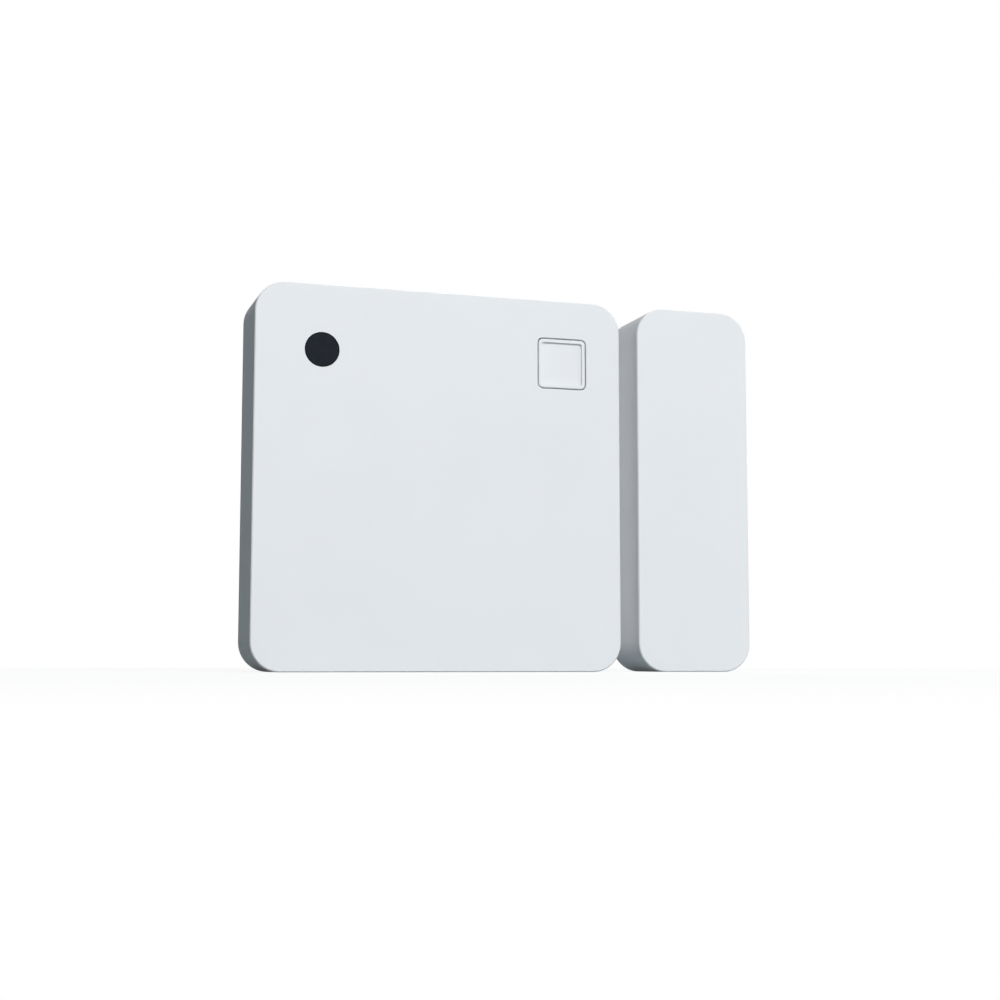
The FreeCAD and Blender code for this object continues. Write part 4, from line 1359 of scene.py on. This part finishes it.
@dataclass
class Chips(Assembly):
    """The chips and small components: soldered feet, end caps, marks and what shows inside."""

    finishes: ClassVar[dict[str, Finish]] = {
        "radio_chip": EPOXY,
        "crystal": LID,
        "tilt_chip": EPOXY,
        "reservoir_capacitor": YELLOW_EPOXY,
        "chip_antenna": CERAMIC,
        "chip_capacitors": TAN_CERAMIC,
        "chip_resistors": EPOXY,
        "light_chip": LENS,
        "status_lamp": LENS,
    }

    feet: tuple[FootRow, ...] = (
        FootRow("radio_chip", ALL_ROUND, 7, 0.5 * MM, 0.26 * MM),
        FootRow("tilt_chip", ALL_ROUND, 3, 0.5 * MM, 0.26 * MM),
        FootRow("crystal", LOW_AND_HIGH, 2, 1.7 * MM, 0.7 * MM),
        FootRow("reservoir_capacitor", BOTH_ENDS, 1, 0.0, 2.2 * MM),
        FootRow("chip_antenna", BOTH_ENDS, 1, 0.0, 1.6 * MM),
        FootRow("light_chip", LOW_AND_HIGH, 3, 0.45 * MM, 0.24 * MM),
        FootRow("status_lamp", LOW_AND_HIGH, 1, 0.0, 0.6 * MM),
    )
    foot_reach: float = 0.14 * MM
    foot_height: float = 0.16 * MM
    foot_sunk: float = 0.04 * MM
    foot_slope: float = 0.112 * MM
    capacitors: CapRow = CapRow("chip_capacitors", 8, 0.25 * MM)
    resistors: CapRow = CapRow("chip_resistors", 6, 0.2 * MM)
    small_width: float = 0.5 * MM  # of one capacitor or resistor, along its row
    proud: float = 0.02 * MM  # how far the plating of ends stands out
    cap_round: float = 0.05 * MM
    antenna_band: float = 0.5 * MM
    tray_rim: float = 0.04 * MM
    tray_share: float = 0.55  # of the crystal's height
    tray_corner: float = 0.12 * MM
    band_near: float = 0.25 * MM
    band_far: float = 0.8 * MM
    band_edge: float = 0.1 * MM
    band_corner: float = 0.08 * MM
    mark_height: float = 0.008 * MM
    marks: tuple[tuple[str, float], ...] = (("radio_chip", 0.22 * MM), ("tilt_chip", 0.13 * MM))
    mark_inward: float = 3.0  # times its radius
    mark_rim: float = 0.3  # of its radius
    mark_dip: float = 0.6  # of its height
    die_shares: tuple[tuple[str, float], ...] = (("light_chip", 0.5), ("status_lamp", 0.35))
    die_front: float = 0.22 * MM
    die_back: float = 0.08 * MM
    die_edge: float = 0.02 * MM

    def foot_row(self, row: FootRow, side: Side) -> bpy.types.Object:
        """Makes a sloped foot and copies it along one side of its chip.

        Args:
            row: the chip and its feet.
            side: the side.

        Returns:
            That side's feet.
        """
        room = Room.of(row.node)
        board = Room.of("circuit_board")
        axis, sign = side.value
        other = Axis.Z if axis is Axis.X else Axis.X
        on_back = room.centre.y > board.centre.y
        up = 1.0 if on_back else -1.0
        ground = board.high.y if on_back else board.low.y
        wall = room.high[axis] if sign > 0 else room.low[axis]
        top = ground + up * self.foot_height
        half = Vector()
        half[axis] = self.foot_reach
        half[other] = row.width / 2
        middle = room.centre
        middle[axis] = wall
        low, high = middle - half, middle + half
        low.y, high.y = sorted((ground - up * self.foot_sunk, top))
        foot = block(f"{row.node}_foot", low, high)
        outer_top = both(at_level(Axis.Y, top), at_level(axis, wall + sign * self.foot_reach))
        bevel(foot, outer_top, self.foot_slope)
        return repeated(foot, in_row(row.count, row.pitch, other))

    def all_feet(self) -> bpy.types.Object:
        """Every chip's soldered feet, as one piece."""
        return joined("chip_feet", [self.foot_row(row, side) for row in self.feet for side in row.sides])

    def end_caps(self, name: str, row: CapRow) -> bpy.types.Object:
        """Makes one plated end cap and copies it to both ends of each part in a row.

        Args:
            name: the new piece's name.
            row: the row of parts.

        Returns:
            All the caps.
        """
        room = Room.of(row.node)
        half = self.small_width / 2 + self.proud
        low = Vector((room.low.x - self.proud, room.low.y, room.centre.z - half))
        high = Vector((room.low.x + row.length, room.high.y + self.proud, room.centre.z + half))
        cap = block(name, low, high)
        bevel(cap, every_edge, self.cap_round, steps=2)
        pitch = (room.size.z - self.small_width) / (row.count - 1)
        ends = (Vector(), Vector((room.size.x - row.length + self.proud, 0.0, 0.0)))
        return repeated(cap, [step + end for step in in_row(row.count, pitch, Axis.Z) for end in ends])

    def crystal_base(self) -> bpy.types.Object:
        """Makes the ceramic tray that the crystal's metal lid is sealed on.

        Returns:
            The tray.
        """
        room = Room.of("crystal")
        rim = Vector((self.tray_rim, 0.0, self.tray_rim))
        high = Vector((room.high.x, room.low.y + self.tray_share * room.size.y, room.high.z))
        tray = block("crystal_base", room.low - rim, high + rim)
        bevel(tray, along(Axis.Y), self.tray_corner)
        return tray

    def antenna_ends(self) -> bpy.types.Object:
        """Makes the plated band at one end of the antenna and copies it to the other end.

        Returns:
            Both bands.
        """
        room = Room.of("chip_antenna")
        high = Vector((room.low.x + self.antenna_band, room.high.y, room.high.z))
        low = room.low - Vector((self.proud, 0.0, self.proud))
        band = block("antenna_ends", low, high + Vector((self.proud, self.proud, self.proud)))
        bevel(band, every_edge, self.cap_round, steps=2)
        return repeated(band, [Vector(), Vector((room.size.x - self.antenna_band, 0.0, 0.0))])

    def polarity_band(self) -> bpy.types.Object:
        """Makes the printed band at the positive end of the reservoir capacitor.

        Returns:
            The band.
        """
        room = Room.of("reservoir_capacitor")
        edge = self.band_edge
        low = Vector((room.low.x + self.band_near, room.high.y - edge, room.low.z + edge))
        high = Vector((room.low.x + self.band_far, room.high.y + self.mark_height, room.high.z - edge))
        band = block("reservoir_band", low, high)
        bevel(band, along(Axis.Y), self.band_corner, steps=2)
        return band

    def corner_marks(self) -> bpy.types.Object:
        """Makes a shallow round mark at the first corner of each square chip.

        Returns:
            The marks.
        """
        made = []
        for node, radius in self.marks:
            room = Room.of(node)
            inward = self.mark_inward * radius
            foot = Vector((room.low.x + inward, room.high.y - self.mark_height, room.high.z - inward))
            mark = drum(f"{node}_mark", foot, radius, 2 * self.mark_height)
            with editing(mark):
                pick_faces(mark, facing(Axis.Y, 1.0))
                bpy.ops.mesh.inset(thickness=self.mark_rim * radius)
                bpy.ops.transform.translate(value=(0.0, -self.mark_dip * self.mark_height, 0.0))
            made.append(mark)
        return joined("chip_corner_marks", made)

    def dies(self) -> bpy.types.Object:
        """Makes the light-sensing chip and the lamp's chip, which show inside their clear packages.

        Each is as wide and as high as its share of its package.

        Returns:
            Both of them.
        """
        made = []
        for node, share in self.die_shares:
            room = Room.of(node)
            half = room.size * share / 2
            low = Vector((room.centre.x - half.x, room.high.y - self.die_front, room.centre.z - half.z))
            high = Vector((room.centre.x + half.x, room.high.y - self.die_back, room.centre.z + half.z))
            die = block(f"{node}_die", low, high)
            bevel(die, at_level(Axis.Y, low.y), self.die_edge, steps=1)
            made.append(die)
        return joined("sensing_dies", made)

    def pieces(self) -> list[bpy.types.Object]:
        """Adds what is soldered, plated and printed on the components.

        Returns:
            The new pieces.
        """
        house = Body.SENSOR_HOUSING
        return [
            dress(self.all_feet(), SOLDER, house),
            dress(self.end_caps("capacitor_ends", self.capacitors), TIN, house),
            dress(self.end_caps("resistor_ends", self.resistors), TIN, house),
            dress(self.crystal_base(), CERAMIC, house),
            dress(self.antenna_ends(), TIN, house),
            dress(self.polarity_band(), BAND, house),
            dress(self.corner_marks(), MARK, house),
            dress(self.dies(), DIE, house),
        ]


@dataclass
class PushSwitch(Assembly):
    """The push switch under the button."""

    finishes: ClassVar[dict[str, Finish]] = {
        "switch_base": SWITCH,
        "switch_plate": LID,
        "switch_plunger": SWITCH,
        "switch_dome": SPRING,
        "switch_terminals": TIN,
    }

    rivet_radius: float = 0.24 * MM
    rivet_length: float = 0.09 * MM
    rivet_sunk: float = 0.03 * MM
    rivet_round: float = 0.048 * MM
    rivet_inset: float = 0.42 * MM

    def rivets(self) -> bpy.types.Object:
        """Makes one head of the base's own pins, formed over the metal plate, and copies it.

        Returns:
            The four heads.
        """
        room = Room.of("switch_plate")
        foot = Vector((room.centre.x, room.low.y + self.rivet_sunk, room.centre.z))
        head = drum("switch_rivets", foot, self.rivet_radius, -self.rivet_length, sides=20)
        bevel(head, at_level(Axis.Y, foot.y - self.rivet_length), self.rivet_round)
        across = room.size.x / 2 - self.rivet_inset
        up = room.size.z / 2 - self.rivet_inset
        return repeated(head, [Vector((x, 0.0, z)) for x in (-across, across) for z in (-up, up)])

    def pieces(self) -> list[bpy.types.Object]:
        """Rivets the switch's plate."""
        return [dress(self.rivets(), SWITCH, Body.SENSOR_HOUSING)]


@dataclass
class ReedSwitch(Assembly):
    """The reed switch beside the magnet, and the solder at its two legs."""

    finishes: ClassVar[dict[str, Finish]] = {"reed_glass": GLASS, "reed_leads": TIN}

    wire_radius: float = 0.2 * MM
    cone_radius: float = 0.5 * MM
    cone_height: float = 0.34 * MM
    cone_foot: float = 0.12  # of its height
    cone_steps: tuple[Pair, ...] = ((0.12, 0.80), (0.22, 0.78), (0.26, 0.84), (0.28, 0.90))

    def solder(self) -> bpy.types.Object:
        """Makes a solder cone that climbs its leg in a hollow curve, and copies it to the other leg.

        Each step of the curve is a share of the cone's height, and how much narrower the cone gets in it.

        Returns:
            Both cones.
        """
        leads = Room.of("reed_leads")
        board = Room.of("circuit_board").high.y
        at = Vector((leads.centre.x, board, leads.low.z + self.wire_radius))
        cone = drum("reed_solder", at, self.cone_radius, self.cone_foot * self.cone_height, sides=20)
        with editing(cone):
            pick_faces(cone, facing(Axis.Y, 1.0))
            for rise, narrower in self.cone_steps:
                extrude_along_y(rise * self.cone_height)
                bpy.ops.transform.resize(value=(narrower, 1.0, narrower))
        return repeated(cone, [Vector(), Vector((0.0, 0.0, leads.size.z - 2 * self.wire_radius))])

    def pieces(self) -> list[bpy.types.Object]:
        """Solders the legs."""
        return [dress(self.solder(), SOLDER, Body.SENSOR_HOUSING)]


@dataclass
class CoinCell(Assembly):
    """The coin cell, its clip and the solder that holds the clip."""

    finishes: ClassVar[dict[str, Finish]] = {
        "cell_can": CAN,
        "cell_cap": CAP,
        "cell_gasket": GASKET,
        "cell_filling": PELLET,
        "cell_clip": SPRING,
    }

    plus_reach: float = 1.6 * MM
    plus_bar: float = 0.45 * MM
    plus_height: float = 0.008 * MM
    plus_corner: float = 0.1 * MM
    plus_above: float = 5.2 * MM
    foot_length: float = 6.0 * MM
    foot_width: float = 0.8 * MM
    bead_reach: float = 0.28 * MM
    bead_height: float = 0.24 * MM
    bead_sunk: float = 0.02 * MM
    bead_inset: float = 0.05 * MM
    bead_round: float = 0.2 * MM

    def plus(self) -> bpy.types.Object:
        """Makes the plus sign stamped on the positive side of the can, as two arms united.

        Returns:
            The sign.
        """
        room = Room.of("cell_can")
        middle = Vector((room.centre.x, room.high.y, room.centre.z + self.plus_above))
        arms = []
        for across, up in ((self.plus_reach, self.plus_bar / 2), (self.plus_bar / 2, self.plus_reach)):
            half = Vector((across, self.plus_height, up))
            arm = block("cell_plus", middle - half, middle + half)
            bevel(arm, along(Axis.Y), self.plus_corner)
            arms.append(arm)
        take(arms[0])
        union = arms[0].modifiers.new("cross", "BOOLEAN")
        union.operation = "UNION"
        union.object = arms[1]
        bpy.ops.object.modifier_apply(modifier="cross")
        bpy.data.objects.remove(arms[1])
        return arms[0]

    def beads(self) -> bpy.types.Object:
        """Makes a solder bead at one end of one of the clip's two feet, and copies it to the others.

        Returns:
            The four beads.
        """
        clip = Room.of("cell_clip")
        board = Room.of("circuit_board").high.y
        near, far = clip.low.x + self.bead_inset, clip.low.x + self.foot_width - self.bead_inset
        low = Vector((near, board - self.bead_sunk, clip.high.z - self.bead_reach))
        high = Vector((far, board + self.bead_height, clip.high.z + self.bead_reach))
        bead = block("clip_solder", low, high)
        bevel(bead, at_level(Axis.Y, high.y), self.bead_round, steps=4)
        across = clip.size.x - self.foot_width
        return repeated(bead, [Vector((x, 0.0, z)) for x in (0.0, across) for z in (0.0, -self.foot_length)])

    def pieces(self) -> list[bpy.types.Object]:
        """Marks the can and solders the clip.

        Returns:
            The new pieces.
        """
        return [
            dress(self.plus(), LID, Body.CELL),
            dress(self.beads(), SOLDER, Body.SENSOR_HOUSING),
        ]


@dataclass
class MagnetBar(Assembly):
    """The bar magnet, with the paint dot that tells its poles apart."""

    finishes: ClassVar[dict[str, Finish]] = {"bar_magnet": FERRITE}

    dot_radius: float = 0.9 * MM
    dot_height: float = 0.02 * MM
    dot_below: float = 9.0 * MM

    def dot(self) -> bpy.types.Object:
        """Makes the paint dot, slightly domed, near the top of the bar's back.

        Returns:
            The dot.
        """
        room = Room.of("bar_magnet")
        foot = Vector((room.centre.x, room.high.y - self.dot_height, room.high.z - self.dot_below))
        dot = drum("pole_dot", foot, self.dot_radius, 2 * self.dot_height, sides=32)
        bevel(dot, at_level(Axis.Y, room.high.y + self.dot_height), self.dot_height)
        return dot

    def pieces(self) -> list[bpy.types.Object]:
        """Marks the magnet's pole."""
        return [dress(self.dot(), PAINT, Body.MAGNET_UNIT)]


@dataclass(frozen=True)
class Lamp:
    """A square white lamp that looks at the origin: its place, its side and its power in watts."""

    name: str
    at: Point
    size: float
    power: float

    def hang(self) -> None:
        """Hangs the lamp in the scene."""
        data = bpy.data.lights.new(self.name, "AREA")
        data.shape = "SQUARE"
        data.size = self.size
        data.energy = self.power
        lamp = bpy.data.objects.new(self.name, data)
        bpy.context.scene.collection.objects.link(lamp)
        aim = (-Vector(self.at)).to_track_quat("-Z", "Y")
        lamp.matrix_world = Matrix.Translation(self.at) @ aim.to_matrix().to_4x4()


@dataclass
class Studio:
    """Camera, floor, world and lamps."""

    camera_at: Point = (-41.01 * MM, -153.00 * MM, -16.95 * MM)
    yaw: float = math.radians(17.82)  # turned to the right
    pitch: float = math.radians(5.72)  # tipped up
    roll: float = math.radians(0.051)
    lens: float = 57.85  # in millimetres, and the film's width too
    film_width: float = 36.0
    camera_reach: Pair = (1 * MM, 20.0)
    floor_size: float = 6.0
    floor_lit: Colour = (0.26, 0.315, 0.335)  # in the light that it throws back at the object
    floor_shown: Colour = (0.95, 0.95, 0.95)  # as the camera sees it
    floor_roughness: float = 0.9
    floor_fade: Pair = (60 * MM, 160 * MM)  # how far from the origin its shadow starts and ends fading
    floor_glow: Pair = (0.80, 1.0)  # share of plain white that the camera sees at those distances
    floor_mirrored: float = 0.10  # the same share in reflections
    floor_bounce: float = 0.05  # what is added to these shares, and is there for all other light
    room_colour: Colour = (0.89, 0.97, 1.01)
    room_light: Pair = (0.01, 0.52)  # its strength from the left and from the right
    room_side: Pair = (-0.44, 0.06)  # the X of the directions between which it changes
    lamps: tuple[Lamp, ...] = (
        Lamp("key", (-0.02, -0.77, 0.50), 0.5, 6.4),
        Lamp("side", (0.65, -0.55, 0.15), 0.4, 1.0),
        Lamp("back", (0.27, 0.80, 0.12), 0.26, 5.8),
    )

    def camera(self) -> None:
        """Places the camera where the photograph's was, turned and tipped as it was."""
        sin_y, cos_y = math.sin(self.yaw), math.cos(self.yaw)
        sin_p, cos_p = math.sin(self.pitch), math.cos(self.pitch)
        ahead = Vector((sin_y * cos_p, cos_y * cos_p, sin_p))
        right = Vector((cos_y, -sin_y, 0.0))
        up = right.cross(ahead)
        rolled_right = right * math.cos(self.roll) + up * math.sin(self.roll)
        rolled_up = up * math.cos(self.roll) - right * math.sin(self.roll)
        data = bpy.data.cameras.new("camera")
        data.lens = self.lens
        data.sensor_width = self.film_width
        data.clip_start, data.clip_end = self.camera_reach
        camera = bpy.data.objects.new("camera", data)
        basis = Matrix((rolled_right, rolled_up, -ahead)).transposed()
        camera.matrix_world = Matrix.Translation(self.camera_at) @ basis.to_4x4()
        bpy.context.scene.collection.objects.link(camera)
        bpy.context.scene.camera = camera

    def floor(self) -> None:
        """Lays a wide pale floor under both units, which the camera sees white but for their shadow."""
        clear_selection()
        level = Room.of("front_housing").low.z
        bpy.ops.mesh.primitive_plane_add(size=self.floor_size, location=(0.0, 0.0, level))
        floor = bpy.context.object
        floor.name = "floor"
        nodes = Surface("floor_white")
        ray = nodes.add("LightPath").outputs
        nodes.set(
            Base_Color=nodes.tint(ray["Is Camera Ray"], self.floor_lit, self.floor_shown),
            Roughness=self.floor_roughness,
            Specular_IOR_Level=0.0,
        )
        away = nodes.add("VectorMath", operation="LENGTH", Vector=nodes.place.outputs["Object"])
        seen = nodes.moved(away.outputs["Value"], self.floor_fade, self.floor_glow, Ease.SMOOTH)
        mirrored = nodes.maths("MULTIPLY_ADD", ray["Is Glossy Ray"], self.floor_mirrored, self.floor_bounce)
        share = nodes.maths("MULTIPLY_ADD", ray["Is Camera Ray"], seen, mirrored)
        glow = nodes.add("Emission", Color=WHITE, Strength=1.0)
        lit_and_glowing = nodes.blend(share, nodes.shader.outputs["BSDF"], glow.outputs["Emission"])
        nodes.feed(nodes.output, "Surface", lit_and_glowing)
        floor.data.materials.append(nodes.material)

    def world(self) -> None:
        """Makes soft room light, dimmer from the left and brighter in reflections, behind a white ground."""
        world = bpy.data.worlds.new("room")
        world.use_nodes = True
        bpy.context.scene.world = world
        nodes = NodeTree(world.node_tree)
        ray = nodes.add("LightPath").outputs
        way = nodes.add("SeparateXYZ", Vector=nodes.add("TexCoord").outputs["Generated"])
        side = nodes.moved(way.outputs["X"], self.room_side, self.room_light, Ease.SMOOTH)
        strength = nodes.maths("MULTIPLY_ADD", side, ray["Is Glossy Ray"], side)
        soft = nodes.add("Background", Color=self.room_colour, Strength=strength)
        white = nodes.add("Background", Color=WHITE, Strength=1.0)
        seen = nodes.maths("MAXIMUM", ray["Is Camera Ray"], ray["Is Transmission Ray"])
        mixed = nodes.blend(seen, soft.outputs["Background"], white.outputs["Background"])
        nodes.add("OutputWorld", Surface=mixed)

    def build(self) -> None:
        """Puts the whole studio round the object."""
        self.camera()
        self.floor()
        self.world()
        for lamp in self.lamps:
            lamp.hang()
        bpy.context.scene.view_settings.view_transform = "Standard"


def empty_start_file() -> None:
    """Removes the things that an opening file may hold already."""
    for name in ("Cube", "Camera", "Light"):
        if name in bpy.data.objects:
            bpy.data.objects.remove(bpy.data.objects[name])


def main() -> None:
    """Builds the object's pieces in order, and then the studio round it."""
    logging.basicConfig(level=logging.INFO, format="%(name)s: %(message)s")
    empty_start_file()
    assemblies = [
        Casings(),
        FoamPad("sensor_pad", Body.WALL_BASE),
        FoamPad("magnet_pad", Body.MAGNET_UNIT),
        BoardPrint(),
        Chips(),
        PushSwitch(),
        ReedSwitch(),
        CoinCell(),
        MagnetBar(),
    ]
    for assembly in assemblies:
        for piece in assembly.build():
            LOG.info("%s: %s, %d faces", type(assembly).__name__, piece.name, len(piece.data.polygons))
    Studio().build()


if __name__ == "__main__":
    main()
